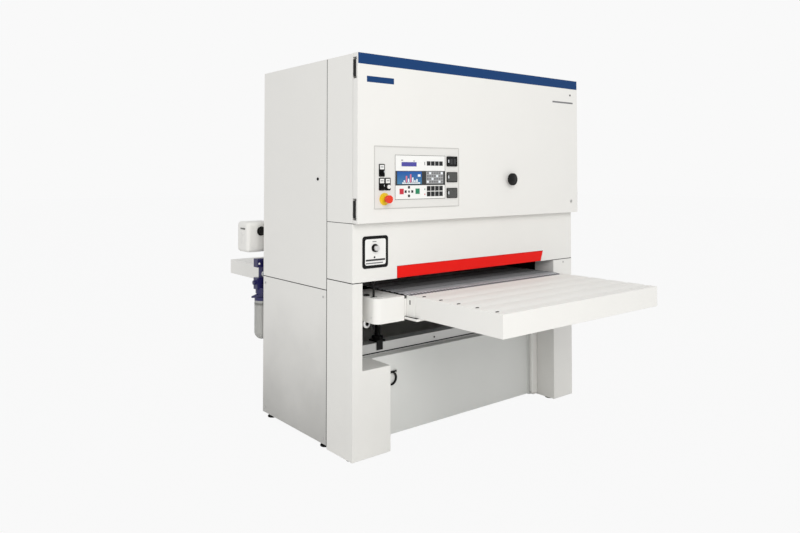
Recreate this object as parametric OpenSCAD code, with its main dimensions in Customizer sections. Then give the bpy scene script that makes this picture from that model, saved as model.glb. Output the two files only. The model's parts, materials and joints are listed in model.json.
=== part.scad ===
// Wide-belt sanding machine: a sheet-metal cabinet on two front legs, with a rising
// conveyor between an infeed and an outfeed table, and two sanding units above it.
// The datum is the floor under the left front corner: +X to the right along the front,
// +Y along the feed, +Z up. row() then puts the origin under the middle of the machine.

/* [Cabinet] */
// Width over the side panels
cabinet_w = 1713; // [1690:1:2100]
// Depth from the fascia to the rear panels
cabinet_d = 907; // [900:1:1120]
// Height of the cabinet
cabinet_h = 2000; // [1960:1:2400]
// Depth of the front legs and pillars
pillar_d = 230; // [215:1:240]
// Width of the front pillars
pillar_w = 61; // [50:1:72]
// Wall of the folded sheet panels
sheet = 3; // [2:0.5:4]
// Depth of the folded edge of a side panel
fold = 28; // [25:1:29]
// Gap between neighbouring panels
seam = 4; // [2:0.5:6]
// Height of the levelling feet
foot_h = 6; // [4:1:8]
// Height where the side door meets the lower side panel
side_split_z = 812; // [780:1:860]

/* [Legs and base] */
// Width of the low block beside the left leg
block_w = 237; // [200:1:250]
// Height of the low block and of the recessed panel
block_h = 437; // [380:1:440]
// Distance from the front to the recessed panel
recess_y = 165; // [150:1:168]
// Width of the right leg
right_leg_w = 180; // [160:1:181]
// Depth of the right leg's inner face
right_leg_d = 146; // [120:1:150]
// Height of the front cross beam
beam_h = 66; // [50:1:80]
// Depth of the front cross beam
beam_d = 70; // [62:1:80]

/* [Fascia] */
// Height of the fascia's lower edge above the floor
fascia_z = 871; // [868:1:900]
// Height of the fascia
fascia_h = 289; // [260:1:289]
// Left end of the red flap
flap_x = 281; // [240:1:300]
// Length of the red flap along its top edge
flap_w = 1152; // [1000:1:1200]
// Height of the red flap
flap_h = 61; // [45:1:61]
// Side of the square switch plate on the fascia
switch_plate = 160; // [140:1:170]

/* [Front door] */
// Depth of the front door
door_t = 42; // [36:1:60]
// How far the door reaches past the cabinet on the right
door_over = 14; // [4:1:20]
// Height of the front door's lower edge above the floor
door_z = 1163; // [1163:1:1200]
// Diameter of the black door knob
knob_d = 70; // [50:1:90]

/* [Control panel] */
// Width of the control panel's bezel
bezel_w = 578; // [570:1:700]
// Height of the control panel's bezel
bezel_h = 316; // [300:1:400]
// Left edge of the bezel from the cabinet's left side
bezel_x = 98; // [60:1:200]
// Diameter of the emergency stop's head
estop_d = 40; // [30:1:44]

/* [Conveyor] */
// Height of the feed belt's top above the floor, at rest
belt_z = 795; // [760:1:797]
// Left edge of the feed belt
belt_x = 292; // [285:1:310]
// Width of the feed belt
belt_w = 1226; // [1000:1:1226]
// Thickness of the feed belt
belt_t = 4; // [3:0.5:6]
// Radius of the belt rollers
roller_r = 50; // [40:1:52]
// How far the belt comes out in front of the cabinet
belt_front = 92; // [70:1:110]
// How far the belt comes out behind the cabinet
belt_rear = 23; // [10:1:40]
// Travel of the conveyor above its rest height
lift_up = 70; // [20:1:70]
// Travel of the conveyor below its rest height
lift_down = 95; // [20:1:95]

/* [Tables] */
// Length of the infeed table along the feed
infeed_l = 617; // [300:1:800]
// Height of the infeed table's skirt
infeed_h = 107; // [90:1:120]
// Length of the outfeed table along the feed
outfeed_l = 920; // [400:1:1100]
// Left edge of the outfeed table
outfeed_x = 245; // [238:1:260]
// Height of the outfeed table's skirt
outfeed_h = 96; // [80:1:110]
// Wall of the tables
table_wall = 4; // [3:0.5:6]

/* [Sanding units] */
// Radius of the contact drums
drum_r = 90; // [70:1:95]
// Length of the contact drums
drum_l = 1130; // [900:1:1130]
// Radius of the tension rollers
tension_r = 60; // [45:1:65]
// Distance from the drum's axis to the tension roller's axis
tension_rise = 690; // [600:1:700]
// Gap between the abrasive belts and the conveyor at its highest
top_gap = 3; // [3:0.5:8]

/* [Dust outlets] */
// Outer radius of a dust outlet
outlet_r = 75; // [50:1:75]
// Wall of a dust outlet
outlet_wall = 3; // [2:0.5:4]
// Height of a dust outlet above the cabinet
outlet_h = 60; // [40:1:100]

/* [Rear fittings] */
// Width of the rear control box
box_w = 172; // [140:1:200]
// Height of the rear control box
box_h = 182; // [150:1:220]
// Depth of the rear control box
box_d = 140; // [100:1:180]
// How far the rear control box reaches past the left side
box_over = 52; // [45:1:80]
// Radius of the air filter's bowl
bowl_r = 46; // [30:1:47]

/* [Hidden] */
$fn = 64;

// Clearances
rest_gap = 0.3;            // between a moving piece and the face that it rests by
run_gap = 0.05;            // radial, of a shaft in its bore
belt_gap = 0.3;            // between a belt and its roller
eps = 1;                   // how far a cut runs past the face that it opens

// The origin lies under the middle of the whole machine
infeed_gap = 8;            // between the belt's nose and either table
extent_left = -box_over;
extent_right = cabinet_w + door_over;
extent_front = -belt_front - infeed_gap - infeed_l;
extent_rear = cabinet_d + belt_rear + infeed_gap + outfeed_l;
origin_x = (extent_left + extent_right) / 2;
origin_y = (extent_front + extent_rear) / 2;

// Side frames: thick plates inside the side panels
frame_t = 12;
frame_x = fold + rest_gap;                         // outer face of the left plate
frame_in = frame_x + frame_t;                      // inner face of the left plate
frame_in_r = cabinet_w - frame_in;                 // inner face of the right plate
rear_t = 20;                                       // depth of the rear panels
frame_y0 = pillar_d - seam + rest_gap;
frame_y1 = cabinet_d - rear_t - rest_gap;
plate_y1 = frame_y1 - 20;                          // the plates stop short of the rear posts
post_x = frame_x + 5;                              // outer face of the left rear post
post_w = 27;
rear_x = post_x + 5;                               // left edge of the rear panels
cover_d = 30;                                      // depth of the top cover
frame_top = cabinet_h - cover_d - rest_gap;
panel_base = 22;                                   // lower edge of the side and rear panels

// Sanding units, with their axes at [y, z]
belt_grit = 2;                                     // thickness of an abrasive belt
shaft_r = 20;
head_z = belt_z + lift_up + top_gap;               // lowest line of the abrasive belts
drum_z = head_z + belt_grit + belt_gap + drum_r;
unit_y = [frame_y0 + 140, frame_y1 - 190];
drum_x = belt_x + (belt_w - drum_l) / 2;
hanger_t = 12;
tie_d = 50;                                        // depth of the bars that tie the hanger plates
hanger_x = [drum_x - 22, drum_x + drum_l + 10];    // where the two hanger plates start
pulley_r = 50;
motor_pulley_r = 60;
vbelt_x = hanger_x[1] + hanger_t + 20;             // first of the two drive belts
vbelt_w = 30;
vbelt_pitch = 40;
vbelt_t = 8;
motor_r = 90;
motor_y = (unit_y[0] + unit_y[1]) / 2;
motor_z = frame_top - 175;
tie_z = drum_z + (motor_z - drum_z) * 0.335;       // above here the drive belts are clear of the tie bars
pressure_r = 20;
pressure_pin_r = 10;
pressure_y = unit_y[0] - drum_r - pressure_r - 10;
pressure_z = head_z + pressure_r;

// Conveyor
loop_r = roller_r + belt_gap + belt_t;
roller_z = belt_z - loop_r;
idler_y = -belt_front + loop_r;
drive_y = cabinet_d + belt_rear - loop_r;
roller_pin_r = 17.5;
plate_t = 12;
bed_h = 40;
bed_wall = 6;
ledge_w = 60;
ledge_d = 60;
plate_gap = 4;                                     // between the belt's edge and a side plate
plate_x = [belt_x - plate_gap - plate_t, belt_x + belt_w + plate_gap];
plate_r_t = 9;                                     // the right side plate is thinner
plate_w = [plate_t, plate_r_t];
plate_top = belt_z - 15;
plate_h = plate_top - roller_z + loop_r + 6;
plate_y = [idler_y - 22, drive_y + 40];            // front and rear ends of the side plates
screw_r = 15;
cradle = 50;                                       // side of the square cradle beams
cradle_top = plate_top - plate_h;
screw_x = [belt_x + 38, belt_x + belt_w - 38];
screw_y = [recess_y + 70, plate_y1 - 60];
screw_drop = 240;
nut_r = 30;
nut_h = 26;

// Left end cover of the conveyor
cover_x0 = 100;
cover_y = [plate_y[0] - sheet - 1, 226];
cover_z = [667, 791];
rod_r = 6;
rod_xy = [138, 12];

// Front door hinge
lug_r = 5;
pin_r = 3;
lug_h = 84;
door_pivot = [sheet + lug_r + 1, -door_t + sheet + lug_r + 1];
door_back = -2;
door_lugs = [door_z + 27, cabinet_h - 116];
knob_at = [cabinet_w * 0.635, door_z + 212];        // middle of the door knob, x and z
side_pivot = [sheet + lug_r + 1, cabinet_d - 14];
side_lugs = [side_split_z + 120, cabinet_h - 250];
slot_h = 106;                                      // height of a hinge slot in a door's edge

// Control panel
rim = 6;
rim_h = 3;
pocket = 2;
face_y = -door_t - rim_h + pocket;                 // floor of the bezel's pocket
bezel_z = door_z + 67;
keypad_at = [bezel_x + 131, bezel_z + 45];
keypad_size = [343, 227];
key_t = 3;
meter_at = [bezel_x + 487, bezel_z + 46];
meter_size = [76, 54];
meter_pitch = 85;
legend_size = [36, 63];
legend_at = [bezel_x + 30, bezel_z + 93];
selector_r = 12;
selector_drop = 18;                                // from a legend plate's foot to its device
estop_at = [bezel_x + 65, bezel_z + 50];
collar_r = 31;
estop_travel = 6;
button_travel = 4;

// Fascia fittings
switch_at = [59, fascia_z + 65];
handle_at = [367, 346];                            // pivot of the recessed panel's drop handle, x and z
ring_r = 37;
flap_t = 3;
flap_axis = [12, flap_h + 12];                     // y, and height above the fascia's edge
flap_rod_r = 5;
flap_slant = 22;

outlet_x = [500, 900];
port_r = 6.6;                                      // of the threaded air port
air_x = 30;
air_y = cabinet_d + 68;
regulator_block = [722, 68];                       // foot and height
gauge_block = [852, 50];

module row() translate([-origin_x, -origin_y, 0]) children();

// A box of folded sheet with one side left open
module tray(size, wall, open) {
    low = [for (i = [0:2]) open[i] < 0 ? -eps : wall];
    high = [for (i = [0:2]) open[i] > 0 ? size[i] + eps : size[i] - wall];
    difference() {
        cube(size);
        translate(low) cube(high - low);
    }
}

module along_x(x0, x1, y, z, r) translate([x0, y, z]) rotate([0, 90, 0]) cylinder(h = x1 - x0, r = r);

// Children stand on the front face at height z, with their +Z pointing at the operator
module on_front(x, y, z) translate([x, y, z]) rotate([90, 0, 0]) children();

// Children stand on the left side, with their +Z pointing out
module on_left(x, y, z) translate([x, y, z]) rotate([0, -90, 0]) children();

module rounded(w, h, r) {
    translate([r, 0]) square([w - 2 * r, h]);
    translate([0, r]) square([w, h - 2 * r]);
    for (x = [r, w - r], y = [r, h - r]) translate([x, y]) circle(r);
}

// The outline that a belt takes round two wheels at a and b
module wheel_loop(a, b, ra, rb) {
    d = norm(b - a);
    s = (ra - rb) / d;
    c = sqrt(1 - s * s);
    translate(a) rotate(atan2(b[1] - a[1], b[0] - a[0]) - 90) {
        circle(ra);
        translate([0, d]) circle(rb);
        polygon([[ra * c, ra * s], [rb * c, d + rb * s], [-rb * c, d + rb * s], [-ra * c, ra * s]]);
    }
}

// A belt that runs in the y, z plane from x0 to x1
module belt(x0, x1, a, b, ra, rb, t) {
    translate([x0, 0, 0]) rotate([90, 0, 90]) linear_extrude(x1 - x0) difference() {
        wheel_loop(a, b, ra + belt_gap + t, rb + belt_gap + t);
        wheel_loop(a, b, ra + belt_gap, rb + belt_gap);
    }
}

// ---- Frame ----

// The left plate has the window through which the abrasive belts are changed
module side_frames() row() color("dimgray") {
    difference() {
        translate([frame_x, frame_y0, foot_h])
            cube([frame_t, plate_y1 - frame_y0, frame_top - foot_h]);
        translate([frame_x - eps, frame_y0 + 62, head_z + 32])
            cube([frame_t + 2 * eps, plate_y1 - frame_y0 - 109, frame_top - head_z - 182]);
    }
    translate([frame_in_r, frame_y0, foot_h])
        cube([frame_t, plate_y1 - frame_y0, frame_top - foot_h]);
    for (x = [post_x, cabinet_w - post_x - post_w])
        translate([x, plate_y1 - 20, foot_h]) cube([post_w, frame_y1 - plate_y1 + 20, frame_top - foot_h]);
    for (z = side_lugs) hinge_arm(z);
}

// The arm and pin that carry the left side door
module hinge_arm(z) {
    translate([post_x, frame_y1 - 5, z]) cube([4, side_pivot[1] + lug_r - frame_y1 + 5, lug_h]);
    translate([side_pivot[0], side_pivot[1] - lug_r, z]) cube([post_x - side_pivot[0] + 4, 2 * lug_r, lug_h]);
    translate([side_pivot[0], side_pivot[1], z]) cylinder(h = lug_h, r = lug_r);
    translate([side_pivot[0], side_pivot[1], z - 10]) cylinder(h = lug_h + 20, r = pin_r);
}

module cross_beams() row() color("silver") {
    w = frame_in_r - frame_in;
    difference() {
        union() {
            translate([pillar_w + 2, screw_y[0] - beam_d / 2, block_h])
                cube([cabinet_w - 2 * pillar_w - 4, beam_d, beam_h]);
            translate([frame_in, frame_y0 + 2, block_h]) cube([w, screw_y[0] + beam_d / 2 - frame_y0 - 2, beam_h]);
        }
        for (x = screw_x) translate([x, screw_y[0], block_h - eps]) cylinder(h = beam_h + 2 * eps, r = screw_r + 5);
    }
    difference() {
        translate([frame_in, screw_y[1] - beam_d / 2, block_h]) cube([w, beam_d, beam_h]);
        for (x = screw_x) translate([x, screw_y[1], block_h - eps]) cylinder(h = beam_h + 2 * eps, r = screw_r + 5);
    }
    for (y = [unit_y[0] - 60, unit_y[1]]) translate([frame_in, y, frame_top - 65]) cube([w, 60, 60]);
    translate([frame_in, frame_y0, foot_h + 20]) cube([w, 60, 60]);
}

module left_front_leg() row() color("whitesmoke") difference() {
    union() {
        translate([0, 0, foot_h]) cube([pillar_w, pillar_d - seam, fascia_z - seam - foot_h]);
        translate([0, 0, foot_h]) cube([block_w, recess_y, block_h - foot_h]);
    }
    translate([sheet, sheet, foot_h + sheet])
        cube([pillar_w - 2 * sheet, pillar_d, fascia_z - seam - foot_h - 2 * sheet]);
    translate([sheet, sheet, foot_h + sheet])
        cube([block_w - 2 * sheet, recess_y, block_h - foot_h - 2 * sheet]);
}

module right_front_leg() row() color("whitesmoke") {
    x = cabinet_w - right_leg_w;
    h = fascia_z - seam - foot_h;
    difference() {
        union() {
            translate([x, 0, foot_h]) cube([right_leg_w, right_leg_d, h]);
            translate([cabinet_w - pillar_w, 0, foot_h]) cube([pillar_w, pillar_d - seam, h]);
        }
        translate([x + sheet, sheet, foot_h + sheet])
            cube([right_leg_w - 2 * sheet, right_leg_d - 2 * sheet, h - 2 * sheet]);
        translate([cabinet_w - pillar_w + sheet, sheet, foot_h + sheet])
            cube([pillar_w - 2 * sheet, pillar_d, h - 2 * sheet]);
    }
}

side_panel_d = cabinet_d - pillar_d - 4;

module left_lower_panel() row() color("lightgray")
    translate([0, pillar_d + 2, panel_base])
        tray([fold, side_panel_d, side_split_z - seam - panel_base], sheet, [1, 0, 0]);

module right_side_panel() row() color("gainsboro")
    translate([cabinet_w - fold, pillar_d + 2, panel_base])
        tray([fold, side_panel_d, cabinet_h - 2 - panel_base], sheet, [-1, 0, 0]);

module left_front_pillar() row() color("whitesmoke") {
    translate([0, 0, door_z]) tray([pillar_w, pillar_d - seam, cabinet_h - 2 - door_z], sheet, [0, 1, 0]);
    for (z = door_lugs) {
        translate([door_pivot[0] - lug_r, door_pivot[1], z]) cube([2 * lug_r, eps - door_pivot[1], lug_h]);
        translate([door_pivot[0], door_pivot[1], z]) cylinder(h = lug_h, r = lug_r);
        translate([door_pivot[0], door_pivot[1], z - 10]) cylinder(h = lug_h + 20, r = pin_r);
    }
}

module right_front_pillar() row() color("whitesmoke")
    translate([cabinet_w - pillar_w, 0, door_z])
        tray([pillar_w, pillar_d - seam, cabinet_h - 2 - door_z], sheet, [0, 1, 0]);

module flap_outline(grow) polygon([
    [flap_x - grow, 0], [flap_x + flap_w - flap_slant + grow, 0],
    [flap_x + flap_w + grow, flap_h + grow], [flap_x - grow, flap_h + grow]
]);

// The fascia carries two ears behind its plate, for the rod of the red flap
module fascia() row() color("whitesmoke") translate([0, 0, fascia_z]) difference() {
    union() {
        difference() {
            cube([cabinet_w, pillar_d - seam, fascia_h]);
            translate([sheet, sheet, -eps]) cube([cabinet_w - 2 * sheet, pillar_d, fascia_h - sheet + eps]);
            translate([sheet, 30, 0]) cube([cabinet_w - 2 * sheet, pillar_d, fascia_h + eps]);
        }
        for (x = [0, cabinet_w - pillar_w])
            translate([x, pillar_d - seam - sheet, 0]) cube([pillar_w, sheet, fascia_h]);
        for (x = [flap_x, flap_x + flap_w - flap_slant - 6])
            translate([x, sheet - eps, flap_axis[1] - 8]) cube([6, flap_axis[0] + 6, 16]);
        translate([rod_xy[0] - 12, sheet - eps, 8]) cube([24, rod_xy[1] + 12, 20]);
    }
    translate([0, sheet + eps, 0]) rotate([90, 0, 0]) translate([0, -eps, 0])
        linear_extrude(sheet + 2 * eps) union() {
            translate([0, eps]) flap_outline(2);
            translate([flap_x - 2, 0]) square([flap_w - flap_slant + 4, 2 * eps]);
        }
    along_x(flap_x - 5, flap_x + flap_w, flap_axis[0], flap_axis[1], flap_rod_r + run_gap);
    translate([rod_xy[0], rod_xy[1], 0]) cylinder(h = 40, r = rod_r);
}

module rear_lower_panel() row() color("gainsboro")
    translate([rear_x, cabinet_d - rear_t, panel_base])
        tray([cabinet_w - 2 * rear_x, rear_t, roller_z - loop_r - lift_down - panel_base - 12], sheet, [0, -1, 0]);

module rear_upper_panel() row() color("gainsboro") {
    z = head_z + 12;
    translate([rear_x, cabinet_d - rear_t, z])
        tray([cabinet_w - 2 * rear_x, rear_t, cabinet_h - z - cover_d - 2], sheet, [0, -1, 0]);
}

module top_cover() row() color("whitesmoke") difference() {
    translate([fold + 4, 0, cabinet_h - cover_d])
        tray([cabinet_w - 2 * fold - 8, cabinet_d, cover_d], sheet, [0, 0, -1]);
    for (x = outlet_x) translate([x, motor_y, cabinet_h - 10]) cylinder(h = 20, r = outlet_r + rest_gap);
    for (x = [fold, cabinet_w - pillar_w - 2])
        translate([x, -eps, cabinet_h - cover_d - eps])
            cube([pillar_w + 2 - (x == fold ? fold : 0), pillar_d, cover_d + 2]);
}

module recessed_panel() row() color("lightgray") {
    right = cabinet_w - right_leg_w + 8;
    difference() {
        union() {
            translate([pillar_w + 3, recess_y, 13])
                tray([right - 73 - pillar_w - 3, 38, block_h - 13], sheet, [0, 1, 0]);
            translate([right - 73, right_leg_d + 2, 13]) tray([73, 38, block_h - 7], sheet, [0, 1, 0]);
            for (side = [-1, 1])
                on_front(handle_at[0] + side * (ring_r - 1) - 3, recess_y + eps, handle_at[1] - 8)
                    cube([6, 16, 12 + eps]);
        }
        along_x(handle_at[0] - ring_r - 4, handle_at[0] + ring_r + 4, recess_y - 6 - rest_gap, handle_at[1],
                4 + run_gap);
    }
}

module levelling_feet() row() color("black")
    for (p = [[34, 50], [200, 60], [cabinet_w - 150, 60], [cabinet_w - 34, 50],
              [frame_x + 6, frame_y0 + 60], [frame_x + 6, frame_y1 - 40],
              [frame_in_r + 6, frame_y0 + 60], [frame_in_r + 6, frame_y1 - 40]])
        translate([p[0], p[1], 0]) cylinder(h = foot_h, r = 28);

module fascia_plate() row() color("black") on_front(switch_at[0], 0, switch_at[1])
    linear_extrude(2) rounded(switch_plate, switch_plate, 16);

module height_stop_rod() row() color("black")
    translate([rod_xy[0], rod_xy[1], roller_z - loop_r - 60])
        cylinder(h = fascia_z + 26 - (roller_z - loop_r - 60), r = rod_r);

module cover_screws() row() color("silver") {
    for (y = [pillar_d + 30, cabinet_d - 30], z = [panel_base + 30, side_split_z - 40]) {
        on_left(0, y, z) cylinder(h = 2.5, r = 6);
        translate([cabinet_w, y, z]) rotate([0, 90, 0]) cylinder(h = 2.5, r = 6);
    }
    for (x = [80, cabinet_w - 80], z = [panel_base + 40, 520, head_z + 60, cabinet_h - 80])
        translate([x, cabinet_d, z]) rotate([-90, 0, 0]) cylinder(h = 2.5, r = 6);
    on_front(cabinet_w - 84, 0, fascia_z - 22) cylinder(h = 2.5, r = 6);
}

// ---- Sanding units and their drive ----

module unit_frames() row() color("slategray") for (i = [0, 1]) {
    y = unit_y[i];
    beam_y = i == 0 ? y - 68 : y + 4;
    reach = i == 0 ? pressure_y - 16 : y - 60;
    for (j = [0, 1]) difference() {
        union() {
            translate([hanger_x[j], y - 60, head_z + 40])
                cube([hanger_t, 120, (j == 0 ? frame_top - 66 : drum_z + tension_rise + 60) - head_z - 40]);
            translate([hanger_x[j], reach, head_z + 4]) cube([hanger_t, y + 50 - reach, 120]);
        }
        along_x(hanger_x[j] - eps, hanger_x[j] + hanger_t + eps, y, drum_z, shaft_r + run_gap);
        along_x(hanger_x[j] - eps, hanger_x[j] + hanger_t + eps, y, drum_z + tension_rise, shaft_r + run_gap);
        if (i == 0)
            along_x(hanger_x[j] - eps, hanger_x[j] + hanger_t + eps, pressure_y, pressure_z,
                    pressure_pin_r + run_gap);
    }
    translate([hanger_x[0] + hanger_t + rest_gap, beam_y + 4, drum_z + 280])
        cube([hanger_x[1] - hanger_x[0] - hanger_t - 2 * rest_gap, tie_d, 120]);
    translate([hanger_x[1] + hanger_t + rest_gap, beam_y + 4, tie_z])
        cube([frame_in_r - hanger_x[1] - hanger_t - 2 * rest_gap, tie_d, 120]);
    translate([frame_in + rest_gap, beam_y + 4, frame_top - 170])
        cube([hanger_x[0] - frame_in - 2 * rest_gap, tie_d, 100]);
}

module roll(x0, l, y, z, r, pin_r, left, right) {
    along_x(x0, x0 + l, y, z, r);
    along_x(x0 - left, x0 + l + right, y, z, pin_r);
}

module drum(i) {
    x1 = drum_x + drum_l;
    roll(drum_x, drum_l, unit_y[i], drum_z, drum_r, shaft_r, 22, vbelt_x + 2 * vbelt_pitch - x1);
    along_x(vbelt_x + i * vbelt_pitch, vbelt_x + i * vbelt_pitch + vbelt_w, unit_y[i], drum_z, pulley_r);
}

module tension(i)
    roll(drum_x, drum_l, unit_y[i], drum_z + tension_rise, tension_r, shaft_r, 22, 22);

module front_drum() row() color("dimgray") drum(0);
module rear_drum() row() color("dimgray") drum(1);
module front_tension_roller() row() color("silver") tension(0);
module rear_tension_roller() row() color("silver") tension(1);

module abrasive_belts() row() color("sienna") for (y = unit_y)
    belt(drum_x + 5, drum_x + drum_l - 5, [y, drum_z], [y, drum_z + tension_rise], drum_r, tension_r, belt_grit);

module pressure_roller() row() color("black")
    roll(drum_x, drum_l, pressure_y, pressure_z, pressure_r, pressure_pin_r, 22, 22);

motor_x = [vbelt_x - 365, vbelt_x - 35];

module main_motor() row() color("slategray") {
    difference() {
        union() {
            along_x(motor_x[0], motor_x[1], motor_y, motor_z, motor_r);
            translate([motor_x[0] + 60, motor_y - 70, motor_z]) cube([210, 140, motor_r + 18]);
        }
        along_x(motor_x[1] - 60, motor_x[1] + eps, motor_y, motor_z, shaft_r + run_gap);
    }
    translate([motor_x[0] + 40, unit_y[0] - 60, frame_top - 65 - 2])
        cube([250, unit_y[1] + 60 - unit_y[0] + 60, 2]);
}

module motor_pulley() row() color("dimgray") {
    along_x(motor_x[1] - 58, vbelt_x + 2 * vbelt_pitch, motor_y, motor_z, shaft_r);
    for (i = [0, 1])
        along_x(vbelt_x + i * vbelt_pitch, vbelt_x + i * vbelt_pitch + vbelt_w, motor_y, motor_z, motor_pulley_r);
}

// Each drive belt runs at a slant from the motor's pulley to one drum
module drive_belts() row() color("black") for (i = [0, 1])
    translate([vbelt_x + i * vbelt_pitch + 4, 0, 0]) rotate([90, 0, 90]) linear_extrude(vbelt_w - 8) difference() {
        slanted_loop(unit_y[i], belt_gap + vbelt_t);
        slanted_loop(unit_y[i], belt_gap);
    }

module slanted_loop(y, grow) hull() {
    translate([y, drum_z]) circle(pulley_r + grow);
    translate([motor_y, motor_z]) circle(motor_pulley_r + grow);
}

// The hood hangs between the units and opens downwards at the drums
hood_y = [unit_y[0] + drum_r + 14, unit_y[1] - drum_r - 14];
hood_z = [drum_z + 60, motor_z - motor_r - 10];

module dust_hood() row() color("silver") {
    difference() {
        translate([drum_x + 10, hood_y[0], hood_z[0]])
            tray([outlet_x[1] + outlet_r + 30 - drum_x - 10, hood_y[1] - hood_y[0], hood_z[1] - hood_z[0]],
                 sheet, [0, 0, -1]);
        for (x = outlet_x) translate([x, motor_y, hood_z[1] - 10]) cylinder(h = 20, r = outlet_r - outlet_wall);
    }
    for (x = outlet_x) translate([x, motor_y, hood_z[1]]) difference() {
        union() {
            cylinder(h = cabinet_h + outlet_h - hood_z[1], r = outlet_r);
            translate([0, 0, cabinet_h - hood_z[1]]) cylinder(h = 4, r = outlet_r + 16);
        }
        translate([0, 0, -eps]) cylinder(h = cabinet_h + outlet_h - hood_z[1] + 2 * eps, r = outlet_r - outlet_wall);
    }
}

// ---- Rear fittings ----

module air_unit() row() color("navy") {
    translate([post_x, frame_y1 + rest_gap, 740]) cube([4, air_y - frame_y1 - rest_gap, 60]);
    for (block = [regulator_block, gauge_block])
        translate([air_x - 46, air_y - 24, block[0]]) cube([92, 48, block[1]]);
    translate([air_x, air_y, 788]) cylinder(h = 66, r = 23);
    translate([air_x, air_y, 696]) cylinder(h = 34, r = 40);
    translate([air_x, air_y, 655]) cylinder(h = 41, r = 20);
    translate([air_x, air_y, 655]) cylinder(h = 18, r = bowl_r);
    on_front(air_x, air_y - 20, 812) cylinder(h = 14, r = 20);
    on_left(air_x - 46, air_y, 762) cylinder(h = 14, r = 13);
    translate([air_x, air_y + 24, 762]) rotate([-90, 0, 0]) difference() {
        cylinder(h = 26, r = 14);
        translate([0, 0, 6]) cylinder(h = 20 + eps, r = port_r);
    }
}

module air_bowl() row() color("silver") difference() {
    union() {
        translate([air_x, air_y, 470]) cylinder(h = 185, r = bowl_r);
        translate([air_x, air_y, 470]) sphere(r = bowl_r);
    }
    translate([air_x, air_y, 470]) cylinder(h = 186, r = bowl_r - 3);
    translate([air_x, air_y, 470]) sphere(r = bowl_r - 3);
}

module air_lever() row() color("navy") {
    translate([air_x, air_y, 673 + rest_gap]) difference() {
        union() {
            cylinder(h = 23 - 2 * rest_gap, r = 34);
            hull() {
                translate([-64, 0, 0]) cylinder(h = 9, r = 7);
                cylinder(h = 23 - 2 * rest_gap, r = 24);
            }
        }
        translate([0, 0, -eps]) cylinder(h = 30, r = 20 + run_gap);
    }
}

module rear_box() row() color("whitesmoke") {
    y = cabinet_d + 108;
    translate([-box_over, y, fascia_z + 64]) cube([box_w, box_d, box_h]);
    translate([72, cabinet_d, fascia_z + 110]) cube([40, 108, 80]);
}

module rear_box_knob() row() color("black") on_front(40, cabinet_d + 108 - rest_gap, fascia_z + 190) {
    cylinder(h = 6, r = 27);
    cylinder(h = 22, r = 21);
}

// ---- Front door and its fittings ----

module front_door() row() color("whitesmoke") {
    difference() {
        translate([0, -door_t, door_z])
            tray([cabinet_w + door_over, door_t + door_back, cabinet_h - door_z], sheet, [0, 1, 0]);
        for (z = door_lugs) translate([-eps, door_pivot[1] - lug_r, z - (slot_h - lug_h) / 2])
            cube([sheet + 2 * eps, door_t, slot_h]);
    }
    for (z = door_lugs, up = [-11, lug_h + 1]) difference() {
        translate([sheet - eps, -door_t + sheet - eps, z + up])
            cube([2 * lug_r + 2, 2 * lug_r + 2, 10]);
        translate([door_pivot[0], door_pivot[1], z + up - eps]) cylinder(h = 12, r = pin_r + run_gap);
    }
}

module control_bezel() row() color("whitesmoke") on_front(bezel_x, -door_t, bezel_z) difference() {
    linear_extrude(rim_h) rounded(bezel_w, bezel_h, 5);
    translate([0, 0, rim_h - pocket]) linear_extrude(pocket + eps) translate([rim, rim])
        rounded(bezel_w - 2 * rim, bezel_h - 2 * rim, 3);
}

module keypad_plate() row() color("white") on_front(keypad_at[0], face_y, keypad_at[1])
    linear_extrude(key_t) rounded(keypad_size[0], keypad_size[1], 4);

module panel_meters() row() color("black") for (i = [0:2])
    on_front(meter_at[0], face_y, meter_at[1] + i * meter_pitch)
        linear_extrude(5) rounded(meter_size[0], meter_size[1], 4);

module legend(col, level) on_front(legend_at[0] + col * (legend_size[0] + 1), face_y,
                                   legend_at[1] + level * (legend_size[1] + 6))
    linear_extrude(3) rounded(legend_size[0], legend_size[1], 5);

module legend_plates() row() color("black") {
    legend(0, 0);
    legend(1, 0);
    legend(0, 1);
    on_legend(1, 0) translate([0, 0, -rest_gap]) difference() {
        cylinder(h = 6, r = selector_r);
        translate([0, 0, -eps]) cylinder(h = 8, r = selector_r - 2);
    }
}

// Children stand where a push-button or selector sits on its legend plate
module on_legend(col, level) on_front(
    legend_at[0] + col * (legend_size[0] + 1) + legend_size[0] / 2, face_y - 3 - rest_gap,
    legend_at[1] + level * (legend_size[1] + 6) + selector_drop) children();

module selector_knob() {
    cylinder(h = 6, r = selector_r);
    cylinder(h = 9, r = selector_r - 2);
    translate([-3, -selector_r + 1, 0]) cube([6, 2 * selector_r - 2, 18]);
}

module upper_selector() row() color("black") on_legend(0, 1) selector_knob();
module lower_selector() row() color("black") on_legend(0, 0) selector_knob();

module push_button() row() color("white") on_legend(1, 0)
    translate([0, 0, button_travel]) cylinder(h = 7, r = selector_r - 2 - run_gap);

module estop_collar() row() color("gold") on_front(estop_at[0], face_y, estop_at[1]) difference() {
    union() {
        cylinder(h = 3, r = collar_r);
        cylinder(h = 14, r = 17);
    }
    translate([0, 0, 4]) cylinder(h = 12, r = 10 + run_gap);
}

module estop_button() row() color("red") on_front(estop_at[0], face_y, estop_at[1]) {
    translate([0, 0, 4 + estop_travel]) cylinder(h = 24, r = 10);
    translate([0, 0, 14 + estop_travel + 1]) cylinder(h = 10, r1 = estop_d / 2 - 5, r2 = estop_d / 2);
    translate([0, 0, 24 + estop_travel + 1]) cylinder(h = 14, r = estop_d / 2);
}

module door_knob() row() color("black") on_front(knob_at[0], -door_t - rest_gap, knob_at[1]) {
    cylinder(h = 18, r = knob_d / 2 - 11);
    translate([0, 0, 16]) cylinder(h = 12, r = knob_d / 2);
}

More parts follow.
